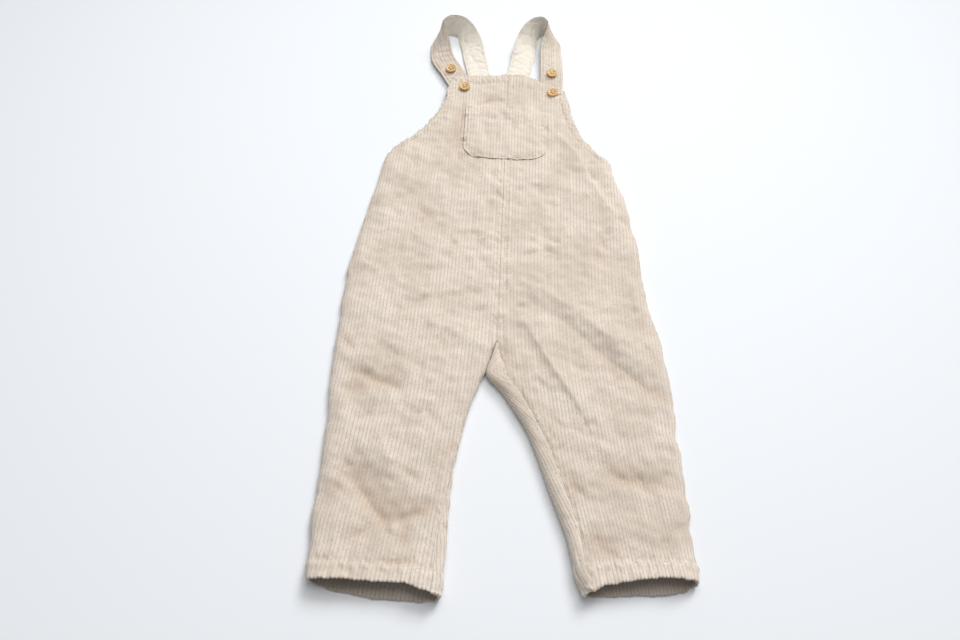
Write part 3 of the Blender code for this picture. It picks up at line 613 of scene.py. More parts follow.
backCreases = (
    Crease(((-20, 20, 0), (-60, -14, 2.0), (-104, -50, 0)), 14, 11),
    Crease(((24, 12, 0), (62, -30, 2.2), (118, -72, 0)), 12, 15),
    Crease(((-126, -96, 0), (-96, -118, 1.8), (-62, -126, 0)), 10, 12),
    Crease(((70, -112, 0), (104, -128, 1.9), (138, -152, 0)), 11, 9),
    Crease(((-96, 190, 0), (-70, 150, 1.6), (-62, 104, 0)), 9, 13),
    Crease(((88, 176, 0), (72, 132, 1.4), (88, 92, 0)), 12, 9),
    Crease(((-40, 300, 0), (-12, 270, 1.1), (30, 262, 0)), 8, 9),
)


smallWrinkles = {
    "count": 210,
    "length": (9, 30),          # mm
    "depth": (0.4, 1.6),
    "sharpReach": (1.2, 2.1),   # half width on the steep side
    "softReach": (2.8, 6.5),    # and on the other
    "tilt": 32,                 # degrees either way from straight across the garment
}


def scatterWrinkles(settings, seed):
    # Short, slightly bent creases strewn over the garment, each sharp on one side
    draw = np.random.default_rng(seed)
    made = []
    for _ in range(settings["count"]):
        x, y = draw.uniform(-138, 152), draw.uniform(-200, 320)
        angle = math.radians(draw.normal(0, settings["tilt"]))
        half = draw.uniform(*settings["length"]) / 2
        depth = draw.uniform(*settings["depth"]) * draw.choice((-1, -1, 1))
        bend = draw.uniform(-0.25, 0.25) * half
        dx, dy = math.cos(angle) * half, math.sin(angle) * half
        reaches = [draw.uniform(*settings["sharpReach"]), draw.uniform(*settings["softReach"])]
        if draw.random() < 0.3:
            reaches.reverse()
        points = ((x - dx, y - dy, 0), (x - dy / half * bend, y + dx / half * bend, depth), (x + dx, y + dy, 0))
        made.append(Crease(points, *reaches))
    return tuple(made)


def creaseHeight(x, y, creases):
    # Each crease lifts the cloth by its height there times a bell that falls off with the
    # distance from its line, over one reach on its left and another on its right
    total = np.zeros(np.shape(x))
    for crease in creases:
        corners = np.array(crease.points)
        margin = 2.6 * max(crease.leftReach, crease.rightReach)
        near = (x > corners[:, 0].min() - margin) & (x < corners[:, 0].max() + margin)
        near &= (y > corners[:, 1].min() - margin) & (y < corners[:, 1].max() + margin)
        if near.any():
            total[near] += oneCrease(x[near], y[near], crease)
    return total


def oneCrease(x, y, crease):
    nearest = np.full(np.shape(x), np.inf)
    value = np.zeros(np.shape(x))
    for (x0, y0, h0), (x1, y1, h1) in zip(crease.points, crease.points[1:]):
        dx, dy = x1 - x0, y1 - y0
        along = np.clip(((x - x0) * dx + (y - y0) * dy) / (dx * dx + dy * dy), 0, 1)
        offX, offY = x - x0 - along * dx, y - y0 - along * dy
        distance = np.hypot(offX, offY)
        leftOf = dx * (y - y0) - dy * (x - x0) > 0
        reach = np.where(leftOf, crease.leftReach, crease.rightReach)
        soft = along * along * (3 - 2 * along)
        lift = (h0 + (h1 - h0) * soft) * np.exp(-(distance / reach) ** 1.2)
        closer = distance < nearest
        value = np.where(closer, lift, value)
        nearest = np.minimum(nearest, distance)
    return value


frontWrinkles = scatterWrinkles(smallWrinkles, 5)


frontWaves = {"broad": 0.7, "broadSize": 40.0, "fine": 0.36, "fineSize": 13.0}


def frontLift(x, y):
    # Creases, plus broad and fine unevenness of cloth that has been worn and washed
    waves = frontWaves["broad"] * ripple(x, y, frontWaves["broadSize"], 11)
    waves += frontWaves["fine"] * ripple(x, y, frontWaves["fineSize"], 12)
    return creaseHeight(x, y, frontCreases + frontWrinkles) + waves


def backLift(x, y):
    # The back rests on the table, so its creases only rise from it
    rise = creaseHeight(x, y, backCreases) + 0.5 * ripple(x, y, 60.0, 21) - 0.1
    return np.maximum(rise, 0)


def frontLine(section, points=70):
    # Outer face of the front in one section: a quarter ellipse up from the side seam, a
    # level stretch, and on a leg a quarter ellipse down to the inner fold
    shape = sectionShape
    width = abs(section.outer - section.inner)
    top = crown(section.y)
    seam = shape["seamHeight"] * top
    start = math.radians(min(shape["openTilt"] * section.opened, 90))
    end = math.radians(90 * (1 - section.roll))
    up = np.linspace(start, math.pi / 2, points)
    down = np.linspace(math.pi / 2, end, points)
    rounded = shape["sideRoll"] * (math.cos(start) - np.cos(up))
    folded = width - shape["foldRoll"] * (math.cos(end) - np.cos(down))
    level = np.linspace(rounded[-1], folded[0], points)[1:-1]
    distance = np.concatenate((rounded, level, folded))
    height = np.concatenate((seam + (top - seam) * np.sin(up), np.full(level.size, top),
                             seam + (top - seam) * np.sin(down)))
    return np.stack((distance, height), axis=1)


def underLine(section, points=70):
    # The back in one section: a quarter ellipse down from the side seam, level along the
    # table, and on a leg a quarter ellipse up to the inner fold
    shape = sectionShape
    width = abs(section.outer - section.inner)
    seam = shape["seamHeight"] * crown(section.y)
    opened = min(section.opened, 1)
    start = math.radians(90 * opened)
    end = math.radians(90 * (1 - section.rise))
    down = np.linspace(start, math.pi / 2, points)
    up = np.linspace(math.pi / 2, end, points)
    rounded = shape["backInset"] * opened + shape["underRoll"] * (math.cos(start) - np.cos(down))
    folded = width - shape["underRoll"] * (math.cos(end) - np.cos(up))
    level = np.linspace(rounded[-1], folded[0], points)[1:-1]
    distance = np.concatenate((rounded, level, folded))
    height = np.concatenate((seam * (1 - np.sin(down)), 0 * level, seam * (1 - np.sin(up))))
    return np.stack((distance, height), axis=1)


def trim(line, start, end):
    # Cuts a length off each end of a line
    run = running(line)
    inside = (run > start) & (run < run[-1] - end)
    marks = np.concatenate(([start], run[inside], [run[-1] - end]))
    return np.stack([np.interp(marks, run, line[:, k]) for k in range(2)], axis=1)


def frontSection(section):
    end = section.wrap + sewnGap / 2 if section.wrap > 0 else 0
    return trim(frontLine(section), sewnGap / 2, end)


def backSection(section):
    # Under the garment, and on a leg up round the inner fold and over it by its wrap
    line = underLine(section)
    if section.rise < 1:
        return trim(line, sewnGap / 2, 0)
    front = frontLine(section)[::-1]
    endHeight = front[0, 1]
    if section.wrap <= 0.05:
        slope = front[1] - front[0]
        level = abs(slope[0]) / max(np.linalg.norm(slope), 1e-6)
        endHeight -= sectionShape["clothWall"] * level + sewnGap
        endHeight -= sectionShape["crotchTuck"] * (1 - section.roll)
        if endHeight <= line[-1, 1]:
            return trim(line, sewnGap / 2, sewnGap)
        wall = np.linspace(line[-1, 1], endHeight, 8)[1:]
        standing = np.stack((np.full(wall.size, line[-1, 0]), wall), axis=1)
        return trim(np.concatenate((line, standing)), sewnGap / 2, 0)
    run = running(front)
    kept = front[(run < section.wrap) & (run > 0)]
    stop = [[np.interp(section.wrap, run, front[:, k]) for k in range(2)]]
    if endHeight - line[-1, 1] > sewnGap:
        wall = np.linspace(line[-1, 1], endHeight, 8)[1:]
        line = np.concatenate((line, np.stack((np.full(wall.size, line[-1, 0]), wall), axis=1)))
    line = np.concatenate((line, kept, stop))
    ease = sectionShape["crotchEase"] * (1 - section.roll)
    return trim(line, sewnGap / 2, sewnGap / 2 + ease)


def bendRow(y, share, hem, top, sections):
    # Moves a row's points along the garment so that the end rows follow the cut edges
    if y < hemBase:
        edge = np.interp(share, *hem)
        return hemBase + (y - hemBase) * (edge - hemBase) / (sections[0, 0] - hemBase)
    if y > topBase:
        edge = np.interp(share, *top)
        return topBase + (y - topBase) * (edge - topBase) / (sections[-1, 0] - topBase)
    return np.full(share.shape, float(y))


def rowPlaces(low, high, hemStep, bodyStep, bibStep):
    # Places of the rows from the hem to the top, close together at the two ends
    ends = np.array((0, 0.25, 0.6, 1.1, 1.8, 3.0))
    hem = np.arange(low + 5.0, low + 45.0, hemStep)
    body = np.arange(low + 45.0, 196.0, bodyStep)
    bib = np.arange(196.0, high - 4.0, bibStep)
    return np.concatenate((low + ends, hem, body, bib, high - ends[::-1]))


def panelBase(side, front):
    # Points, normals and arc length of a panel's plain surface, on a regular grid of rows
    # from hem to top and columns from the outer edge to the inner one
    table = sectionsOf[side]
    outward = outwardOf[side]
    steps = (1.9, 2.05, 1.8) if front else (3.6, 5.2, 3.2)
    rows = rowPlaces(table[0, 0], table[-1, 0], *steps)
    read = smoothRead(table[:, 0], table[:, 1:], rows)
    read[:, 0] += outward * 0.5 * ripple(rows, 0 * rows, 34.0, 31 if side == "left" else 32)
    read[:, 1] += outward * sewnGap / 2
    columns = 230
    share = np.linspace(0, 1, columns)
    points = np.zeros((rows.size, columns, 3))
    lengths = np.zeros(rows.size)
    middles = np.zeros((rows.size, 2))
    for number, y in enumerate(rows):
        section = Section(y, *read[number])
        line = frontSection(section) if front else backSection(section)
        run = running(line)
        wanted = share * run[-1]
        inward = np.interp(wanted, run, line[:, 0])
        points[number, :, 0] = section.outer - outward * inward
        hem, top = (frontHem, bibTop) if front else (backHem, backTop)
        points[number, :, 1] = bendRow(y, share, hem[side], top[side], table)
        points[number, :, 2] = np.interp(wanted, run, line[:, 1])
        lengths[number] = run[-1]
        halfway = abs(section.outer - section.inner) / 2
        past = int(np.argmax(line[:, 0] >= halfway))
        arc = run[past] - (line[past, 0] - halfway)
        middles[number] = arc, outward * (section.outer - outward * halfway)
    x, y = points[..., 0], points[..., 1]
    fromOuter = share[None, :] * lengths[:, None]
    fromInner = lengths[:, None] - fromOuter
    if front:
        roll = read[:, 3][:, None]
        fade = smoothStep(fromOuter, 0, 13) * (1 - roll * (1 - smoothStep(fromInner, 0, 13)))
        points[..., 2] += frontLift(x, y) * fade
    else:
        nearTable = smoothStep(3.0 - points[..., 2], 0, 2.5) * smoothStep(fromOuter, 6, 26)
        points[..., 2] += backLift(x, y) * nearTable * smoothStep(fromInner, 0, 12)
    normals = surfaceNormals(points)
    level = normals[rows.size // 2, columns // 3, 2]
    if (level > 0) != front:
        normals = -normals
    return {"side": side, "front": front, "rows": rows, "points": points, "normals": normals,
            "lengths": lengths, "middles": middles}


def readGrid(grid, rowPlace, columnPlace):
    # Bilinear reading of a grid at fractional rows and columns
    rows, columns = grid.shape[:2]
    rowPlace = np.clip(rowPlace, 0, rows - 1.001)
    columnPlace = np.clip(columnPlace, 0, columns - 1.001)
    r, c = rowPlace.astype(int), columnPlace.astype(int)
    tr, tc = (rowPlace - r)[..., None], (columnPlace - c)[..., None]
    near = grid[r, c] * (1 - tc) + grid[r, c + 1] * tc
    far = grid[r + 1, c] * (1 - tc) + grid[r + 1, c + 1] * tc
    return near * (1 - tr) + far * tr


def onPanel(base, rowValue, arc, fromInner=False):
    # Points and normals of a panel at a row value and an arc length from one of its edges
    rowPlace = np.interp(rowValue, base["rows"], np.arange(base["rows"].size))
    length = np.interp(rowValue, base["rows"], base["lengths"])
    arc = length - arc if fromInner else arc
    columnPlace = arc / length * (base["points"].shape[1] - 1)
    return (readGrid(base["points"], rowPlace, columnPlace),
            unit(readGrid(base["normals"], rowPlace, columnPlace)))


panelCloth = {
    "wall": 1.3,                # one layer
    "turnedWall": 2.3,          # turned and stitched edges
    "waleDepth": 0.24,          # how deep the valleys are
    "hemDepth": 13.0,
    "armholeBand": 9.0,
    "topBand": 11.0,
    "stitchSink": 0.75,         # how deep a line of stitches pulls the cloth in
}
cordPhases = np.array((0.0, 0.09, 0.25, 0.5, 0.75, 0.91))


def cordDepth(phase):
    # Depth below the top of the cords: each cord is round, with a narrow valley beside it
    across = np.abs(phase * 2 - 1)
    return 1 - np.sqrt(np.clip(1 - across**2.6, 0, 1))


def groove(distance, depth, width):
    return -depth * np.exp(-(distance / width) ** 2)


def panelRelief(base, w, fromOuter, fromInner, fromHem, fromTop, y):
    # What the sewing does to the surface: a turned band is raised, each line of stitches
    # pulls the cloth in, and the cloth puckers between the stitches
    cloth = panelCloth
    sink = cloth["stitchSink"]
    opened = smoothStep(base["rows"], 205, 222)[:, None]
    front = base["front"]
    pucker = ripple(w, y, 5.5, 41, stretch=1.0)
    hemBand = 1 - smoothStep(fromHem, cloth["hemDepth"] - 1, cloth["hemDepth"] + 1.5)
    relief = 0.95 * hemBand + groove(fromHem - cloth["hemDepth"] - 0.6, 1.2 * sink, 1.5)
    relief += groove(fromHem - 6.5, 0.3 * sink, 1.0)
    relief += 0.4 * np.sin(w * 2 * math.pi / 8.5 + 2 * ripple(w, y, 30, 43)) * hemBand
    relief += 0.6 * pucker * np.exp(-((fromHem - cloth["hemDepth"]) / 6) ** 2)
    band = 1 - smoothStep(fromOuter, cloth["armholeBand"] - 0.5, cloth["armholeBand"] + 1.2)
    relief += opened * 0.5 * band
    relief += opened * groove(fromOuter - cloth["armholeBand"], 1.3 * sink, 1.4)
    relief += opened * groove(fromOuter - 2.2, 0.5 * sink, 0.8)
    bite = np.sin(y * 2 * math.pi / 5.2 + 2.4 * ripple(w, y, 26, 44)) * ripple(w, y, 9, 46)
    relief += opened * (0.7 * bite + 0.45 * np.sin(y * 2 * math.pi / 6.1 + w * 0.5)) * band
    topBand = 1 - smoothStep(fromTop, cloth["topBand"] - 0.5, cloth["topBand"] + 1.2)
    relief += 0.5 * topBand + groove(fromTop - cloth["topBand"], sink, 1.0)
    relief += groove(fromTop - 2.2, 0.5 * sink, 0.8) + 0.5 * pucker * topBand
    if front:
        trunk = smoothStep(base["rows"], -4, 6)[:, None]
        relief += trunk * groove(fromInner, 0.1, 1.8) * (1 + 6 * smoothStep(y, 278, 290))
        relief += trunk * 0.22 * np.exp(-(fromInner / 1.1) ** 2) * (1 - smoothStep(y, 278, 290))
        tight = np.sin(y * 2 * math.pi / 4.4 + 2.0 * ripple(w, y, 20, 47))
        relief += trunk * (0.45 * pucker + 0.3 * tight) * np.exp(-((fromInner - 4) / 3.5) ** 2)
        if base["side"] == "right":
            relief += trunk * groove(fromInner - 5.0, 0.7 * sink, 0.9)
        relief += (1 - trunk) * 0.6 * pucker * np.exp(-(fromInner / 7) ** 2)
        relief += (1 - trunk) * groove(fromInner, 0.7, 1.8)
    else:
        leg = (1 - smoothStep(base["rows"], -10, 0))[:, None]
        relief += leg * groove(fromInner, 0.4, 1.6)
        ladder = np.sin(y * 2 * math.pi / 4.2 + 2.2 * ripple(w, y, 22, 45))
        relief += leg * 0.75 * ladder * np.exp(-((fromInner - 4.5) / 5) ** 2)
    return relief


def edgeWander(base, w, fromOuter, fromHem, fromTop, phase, y):
    # Sideways shifts near the edges: the side seam is a little lumpy, each cord ends in its
    # own small bump at hem and top, and stitches draw the armhole in and out
    outward = outwardOf[base["side"]]
    opened = smoothStep(base["rows"], 205, 222)[:, None]
    lumps = 0.7 * ripple(y, 0 * y, 26, 52 if outward > 0 else 53) + 0.3 * ripple(y, 0 * y, 8, 54)
    sideways = lumps * np.exp(-(fromOuter / 14) ** 2) * smoothStep(fromHem, 0, 20)
    bite = 0.6 * ripple(y, 0 * y, 4.5, 55) * opened * smoothStep(fromTop, 0, 8)
    sideways = sideways + bite * np.exp(-(fromOuter / 5) ** 2)
    ends = 0.7 * (0.5 - cordDepth(phase)) + 0.5 * ripple(w, 0 * w, 9, 56)
    endways = -ends * np.exp(-(fromHem / 3) ** 2) + ends * np.exp(-(fromTop / 3) ** 2)
    return np.stack((outward * sideways, endways, 0 * endways), axis=-1)


def buildPanel(side, front):
    # Columns follow the wales, so that every cord has the same corners all the way down;
    # a column that runs out of the panel stays on its edge
    base = panelBase(side, front)
    rows = base["rows"]
    arcMiddle, flatMiddle = base["middles"][:, 0:1], base["middles"][:, 1:2]
    lengths = base["lengths"][:, None]
    innerShift, outerShift = (shift[:, None] for shift in waleShift(side, rows))

    def shiftOf(w):
        return innerShift + (outerShift - innerShift) * np.clip(w / 150, 0, 1)

    flatInner = flatMiddle + arcMiddle - lengths
    flatOuter = flatMiddle + arcMiddle
    waleInner, waleOuter = flatInner - innerShift, flatOuter - outerShift
    for _ in range(4):
        waleInner = flatInner - shiftOf(waleInner)
        waleOuter = flatOuter - shiftOf(waleOuter)
    pitch = corduroyLook["walePitch"]
    first, last = math.floor(waleInner.min() / pitch), math.ceil(waleOuter.max() / pitch)
    cords = (np.arange(first, last + 1)[:, None] + cordPhases).ravel() * pitch
    phases = np.tile(cordPhases, last + 1 - first)
    w = np.clip(cords[None, :], waleInner, waleOuter)
    arc = np.clip(arcMiddle - (w + shiftOf(w) - flatMiddle), 0, lengths)

    low = (cords[None, :] <= waleInner).sum(axis=1) - 1
    high = (cords[None, :] < waleOuter).sum(axis=1)
    low = np.clip(low, 0, cords.size - 1)
    high = np.clip(high, 0, cords.size - 1)
    start = np.concatenate(([0], np.cumsum(high - low + 1)))
    spots = np.clip(np.arange(cords.size)[None, :], low[:, None], high[:, None])
    index = start[:-1, None] + spots - low[:, None]
    count = int(start[-1])
    used = np.zeros(count, int)
    used[index.ravel()] = np.arange(index.size)

    rowPlace = np.broadcast_to(np.arange(rows.size)[:, None].astype(float), w.shape)
    columnPlace = arc / lengths * (base["points"].shape[1] - 1)
    points = readGrid(base["points"], rowPlace, columnPlace)
    normals = unit(readGrid(base["normals"], rowPlace, columnPlace))

    fromHem = np.broadcast_to(rows[:, None] - rows[0], w.shape)
    fromTop = np.broadcast_to(rows[-1] - rows[:, None], w.shape)
    fromOuter, fromInner = arc, lengths - arc
    phase = np.where((w == waleInner) | (w == waleOuter), (w / pitch) % 1, phases[None, :])
    y = points[..., 1]
    worn = 0.85 + 0.15 * ripple(w, y, 60, 51, stretch=2.0)
    ribs = panelCloth["waleDepth"] * cordDepth(phase) * worn
    relief = panelRelief(base, w, fromOuter, fromInner, fromHem, fromTop, y)

    opened = smoothStep(rows, 205, 222)[:, None] * (fromOuter < panelCloth["armholeBand"])
    turned = np.maximum(1 - smoothStep(fromHem, 12, 14.5), 1 - smoothStep(fromTop, 10, 12.5))
    turned = np.maximum(turned, opened)
    wall = panelCloth["wall"] + (panelCloth["turnedWall"] - panelCloth["wall"]) * turned
    sewnEdge = np.minimum(fromInner, fromOuter + 99 * smoothStep(rows, 210, 220)[:, None])
    openEdge = np.minimum(fromHem, fromTop)
    openEdge = np.minimum(openEdge, fromOuter + 99 * (1 - smoothStep(rows, 210, 220)[:, None]))
    drop = np.maximum(roundedDrop(sewnEdge, 0.14), roundedDrop(openEdge, wall * 0.49))
    if not front:
        relief = np.where(normals[..., 2] < -0.9, np.minimum(relief, 0), relief)
    insideRibs = ribs * (1 - smoothStep(fromHem, 11, 13)) * 0.8
    points = points + edgeWander(base, w, fromOuter, fromHem, fromTop, phase, y)
    outerPoints = points + normals * (relief - ribs - drop)[..., None]
    innerPoints = points + normals * (np.minimum(relief, 0.2) - wall + drop + insideRibs)[..., None]

    def flat(values):
        return values.reshape(index.size, -1)[used]

    uv = np.concatenate((flat(w), flat(y)), axis=1)
    # inside the hem band the inner faces take the darkened corduroy as painted shade; elsewhere they show the
    # woven back
    backingOrHemShadeSlots = np.where(flat(fromHem)[:, 0] < 12.5, 2, 1)
    name = ("front_" if front else "back_") + side
    piece = addSheet(name, index, flat(outerPoints), flat(innerPoints), flat(normals), uv,
                     (corduroy, backing, hemCorduroyPaintedShade), backingOrHemShadeSlots, (3, 3) if front else (1, 1))
    if front:
        # painted shade for the creases: the deeper the crease, the more of the crease colour
        depth = -creaseHeight(flat(points[..., 0])[:, 0], flat(y)[:, 0], frontCreases + frontWrinkles)
        shade = np.zeros(len(piece.data.vertices), np.float32)
        shade[:depth.size] = np.clip(depth / 2.2, 0, 1)
        piece.data.attributes.new("fold", "FLOAT", "POINT").data.foreach_set("value", shade)
    base["piece"] = piece
    print("panel", name, len(piece.data.polygons), "faces")
    return base


panels = {(side, front): buildPanel(side, front) for side in sides for front in (True, False)}


# Pocket

pocket = {
    "half": 44.0,
    "low": 216.5,
    "corner": 14.0,
    "bow": 3.2,                 # how far the lower edge sags at its middle
    "topX": (-44, 0, 44),
    "topY": (286, 285, 272),
    "wall": 0.95,
    "lift": 0.15,               # clearance from the bib
    "band": 14.5,               # turned band along the opening
}


def bibHeight(x, y):
    return crown(y) + frontLift(x, y)


def buildPocket():
    # Columns along the wales; each runs from the rounded lower edge to the opening
    pitch = 2 * pocket["half"] / 28
    cords = (np.arange(28)[:, None] + cordPhases).ravel() * pitch - pocket["half"]
    x1 = np.append(cords, pocket["half"])
    phase = np.append(np.tile(cordPhases, 28), 1.0)
    past = np.clip(np.abs(x1) - (pocket["half"] - pocket["corner"]), 0, pocket["corner"])
    sag = pocket["bow"] * (1 - (x1 / pocket["half"]) ** 2)
    lowY = pocket["low"] + pocket["corner"] - np.sqrt(pocket["corner"] ** 2 - past**2) - sag
    highY = np.interp(x1, pocket["topX"], pocket["topY"])
    share = np.concatenate(((0, 0.004, 0.01, 0.022, 0.035), np.linspace(0.055, 0.945, 30),
                            (0.965, 0.978, 0.99, 0.996, 1)))[:, None]
    y = lowY + (highY - lowY) * share
    x = np.broadcast_to(x1, y.shape)
    toSide = pocket["half"] - np.abs(x)
    cornerY = pocket["low"] + pocket["corner"] - sag
    inCorner = (y < cornerY) & (toSide < pocket["corner"])
    centre = pocket["half"] - pocket["corner"]
    cornerReach = pocket["corner"] - np.hypot(np.abs(x) - centre, y - cornerY)
    fromEdge = np.where(inCorner, cornerReach, np.minimum(toSide, y + sag - pocket["low"]))
    fromEdge = np.maximum(fromEdge, 0)
    fromTop = highY - y
    z = bibHeight(x, y) + pocket["lift"] + pocket["wall"]
    points = np.stack((x, y, z), axis=-1)
    normals = surfaceNormals(points)
    normals *= np.sign(normals[..., 2:3])
    sink = panelCloth["stitchSink"]
    pucker = ripple(x, y, 5.5, 61)
    band = 1 - smoothStep(fromTop, pocket["band"] - 0.6, pocket["band"] + 1.0)
    relief = 0.4 * band + groove(fromTop - pocket["band"], sink, 1.0)
    relief += 0.5 * pucker * np.exp(-((fromTop - pocket["band"]) / 5) ** 2)
    relief += groove(fromEdge - 2.4, 0.8 * sink, 0.9)
    relief += 0.5 * pucker * np.exp(-((fromEdge - 2.4) / 4) ** 2)
    relief += 0.35 * smoothStep(fromEdge, 3, 14) * smoothStep(fromTop, 0, 10)
    relief = np.maximum(relief, -0.45)
    ribs = panelCloth["waleDepth"] * cordDepth(phase)[None, :] * (0.9 + 0.1 * ripple(x, y, 40, 62))
    drop = roundedDrop(np.minimum(fromEdge, fromTop), pocket["wall"] * 0.49)
    outerPoints = points + normals * (relief - ribs - drop)[..., None]
    innerPoints = points + normals * (drop - pocket["wall"])[..., None]
    index = np.arange(y.size).reshape(y.shape)
    uv = np.stack((((x + pocket["half"]) * corduroyLook["walePitch"] / pitch).ravel(), y.ravel()), axis=1)
    piece = addSheet("pocket", index, outerPoints.reshape(-1, 3), innerPoints.reshape(-1, 3),
                     normals.reshape(-1, 3), uv, (corduroy, backing), 1, (3, 3))
    print("pocket", len(piece.data.polygons), "faces")
    return piece


pocketPiece = buildPocket()


# Straps

# A strap's middle line from its back end to its front end. lean: how far the lining has
# turned from facing up, through facing the hole of the loop, to facing down, degrees.
# lift: clearance of the strap's lower side from the table.
# These places were worked out by another script, rounded and then moved a few mm.
straps = {
    "left": (
        (-29, 322.5, 0, 0), (-32, 340, 0, 0), (-38, 366, 8, 0), (-47, 397, 35, 0),
        (-57, 409.5, 67, 0), (-69.5, 411, 85, 0), (-79, 402.5, 104, 0), (-81, 392, 128, 0),
        (-78.5, 381, 150, 0.5), (-75, 365, 168, 2), (-64, 346, 178, 2.9),
        (-55, 329.5, 180, 2.9), (-47, 315, 180, 2.9), (-41, 304, 180, 2.9)),
    "right": (
        (9, 326, 0, 0), (11, 343, 0, 0), (16, 371, 8, 0), (21, 397, 35, 0),
        (28, 409.5, 66, 0), (36.5, 414.5, 88, 0), (45.5, 409, 108, 0), (49, 398, 134, 0),
        (47.5, 385, 156, 0.5), (48, 366, 171, 2), (48.5, 341, 178, 2.9),
        (48, 327, 180, 2.9), (49, 310, 180, 2.9), (49.5, 297, 180, 2.9)),
}
strapCloth = {
    "width": 25.0,
    "face": 1.3,
    "lining": 0.9,
    "rows": 170,
    "wales": 8,
    "stitchInset": 2.4,
    "cadRows": 34,              # the solid's rows, for the place of the button on it
    "buttonPoint": 10,          # the row of the table that the button sits on
}
strapThick = strapCloth["face"] + seamGap + strapCloth["lining"]


def strapPath(side, count):
    # Smooth curve through the rows: a cubic whose slope at a row is the mean of its two sides
    values = np.array(straps[side], float)
    gaps = np.linalg.norm(np.diff(values[:, :2], axis=0), axis=1)
    run = np.concatenate(([0], np.cumsum(gaps)))
    slopes = np.gradient(values, run, axis=0)
    wanted = np.linspace(0, run[-1], count)
    cell = np.clip(np.searchsorted(run, wanted, side="right") - 1, 0, gaps.size - 1)
    gap = gaps[cell][:, None]
    t = ((wanted - run[cell]) / gaps[cell])[:, None]
    rows = values[cell] * (2 * t**3 - 3 * t**2 + 1) + slopes[cell] * gap * (t**3 - 2 * t**2 + t)
    rows += values[cell + 1] * (3 * t**2 - 2 * t**3) + slopes[cell + 1] * gap * (t**3 - t**2)
    along = unit(np.gradient(rows[:, :2], axis=0))
    hole = -outwardOf[side] * np.stack((-along[:, 1], along[:, 0]), axis=1)
    lean = np.radians(np.clip(rows[:, 2], 0, 180))
    faces = np.stack((hole[:, 0] * np.sin(lean), hole[:, 1] * np.sin(lean), np.cos(lean)), axis=1)
    tangent = np.concatenate((along, np.zeros((count, 1))), axis=1)
    across = np.cross(faces, tangent)
    height = np.clip(rows[:, 3], 0, None) + strapCloth["width"] / 2 * np.sin(lean)
    height += strapThick / 2 * np.abs(np.cos(lean))
    return np.stack((rows[:, 0], rows[:, 1], height), axis=1), across, faces, wanted


def strapSheet(side, places, offset):
    # The middle line spread to the strap's width and moved along the way its lining faces;
    # near its back end it is drawn along the top of the back bib
    middle, across, faces, run = strapPath(side, strapCloth["rows"])
    grid = middle[:, None, :] + across[:, None, :] * places[None, :, None]
    grid = grid + offset * faces[:, None, :]
    width = abs(sectionsOf[side][-1, 1])
    inset = sectionShape["backInset"]
    share = (width - outwardOf[side] * grid[0, :, 0] - inset) / (width - inset)
    wanted = np.interp(share, *backTop[side]) + seamGap
    draw = np.clip(1 - run / 14, 0, 1)[:, None]
    grid[..., 1] += (wanted - grid[0, :, 1])[None, :] * draw
    return grid, np.broadcast_to(faces[:, None, :], grid.shape), run


def buildStrap(side):
    half = strapCloth["width"] / 2
    pitch = strapCloth["width"] / strapCloth["wales"]
    cords = (np.arange(strapCloth["wales"])[:, None] + cordPhases).ravel() * pitch - half
    places = np.append(cords, half)
    phase = np.append(np.tile(cordPhases, strapCloth["wales"]), 1.0)
    grid, faces, run = strapSheet(side, places, -strapThick / 2)
    across = np.broadcast_to(places[None, :], grid.shape[:2])
    along = np.broadcast_to(run[:, None], grid.shape[:2])
    seed = 71 if side == "left" else 72
    fromEdge = half - np.abs(across)
    fromEnd = np.minimum(along, run[-1] - along)
    flexed = ripple(across * 0.25, along + 0.25 * across, 8.0, seed)
    relief = 0.7 * creased(flexed, 4) + groove(fromEdge - strapCloth["stitchInset"], 0.4, 0.8)
    relief += 0.22 * np.minimum(ripple(across, along, 5.0, seed + 2), 0.5)
    ribs = 0.26 * cordDepth(phase)[None, :] * np.ones_like(along)
    drop = roundedDrop(np.minimum(fromEdge, fromEnd), strapCloth["face"] * 0.49)
    outerPoints = grid - faces * (relief - ribs - drop)[..., None]
    innerPoints = grid + faces * (strapCloth["face"] - drop)[..., None]
    index = np.arange(along.size).reshape(along.shape)
    uv = np.stack((((across + half) * corduroyLook["walePitch"] / pitch).ravel(), along.ravel()), axis=1)
    face = addSheet("strap_face_" + side, index, outerPoints.reshape(-1, 3), innerPoints.reshape(-1, 3),
                    -faces.reshape(-1, 3), uv, (corduroy,), 0, (2, 3))

    places = np.linspace(-half, half, 29)
    grid, faces, run = strapSheet(side, places, strapThick / 2)
    across = np.broadcast_to(places[None, :], grid.shape[:2])
    along = np.broadcast_to(run[:, None], grid.shape[:2])
    fromEdge = half - np.abs(across)
    fromEnd = np.minimum(along, run[-1] - along)
    bowed = along + 0.018 * across**2
    relief = 0.8 * creased(ripple(across * 0.5, bowed, 14.0, seed + 4), 8)
    relief += 0.18 * ripple(across, bowed, 7.0, seed + 6)
    pulled = 1 - smoothStep(fromEdge, strapCloth["stitchInset"], strapCloth["stitchInset"] + 2.5)
    relief += 0.25 * np.sin(along * 2 * math.pi / 6.2 + 2 * flexed[:, :1]) * pulled
    relief += groove(fromEdge - strapCloth["stitchInset"], 0.3, 0.8)
    drop = roundedDrop(np.minimum(fromEdge, fromEnd), strapCloth["lining"] * 0.49)
    outerPoints = grid + faces * (np.minimum(relief, 0.3) - drop)[..., None]
    innerPoints = grid - faces * (strapCloth["lining"] - drop)[..., None]
    index = np.arange(along.size).reshape(along.shape)
    uv = np.stack((across.ravel(), along.ravel()), axis=1)
    inside = addSheet("strap_lining_cloth_" + side, index, outerPoints.reshape(-1, 3),
                      innerPoints.reshape(-1, 3), faces.reshape(-1, 3), uv, (lining,), 0, (2, 2))
    print("strap", side, len(face.data.polygons) + len(inside.data.polygons), "faces")
    return face, inside, run[-1]


strapPieces = {side: buildStrap(side) for side in sides}


# Buttons

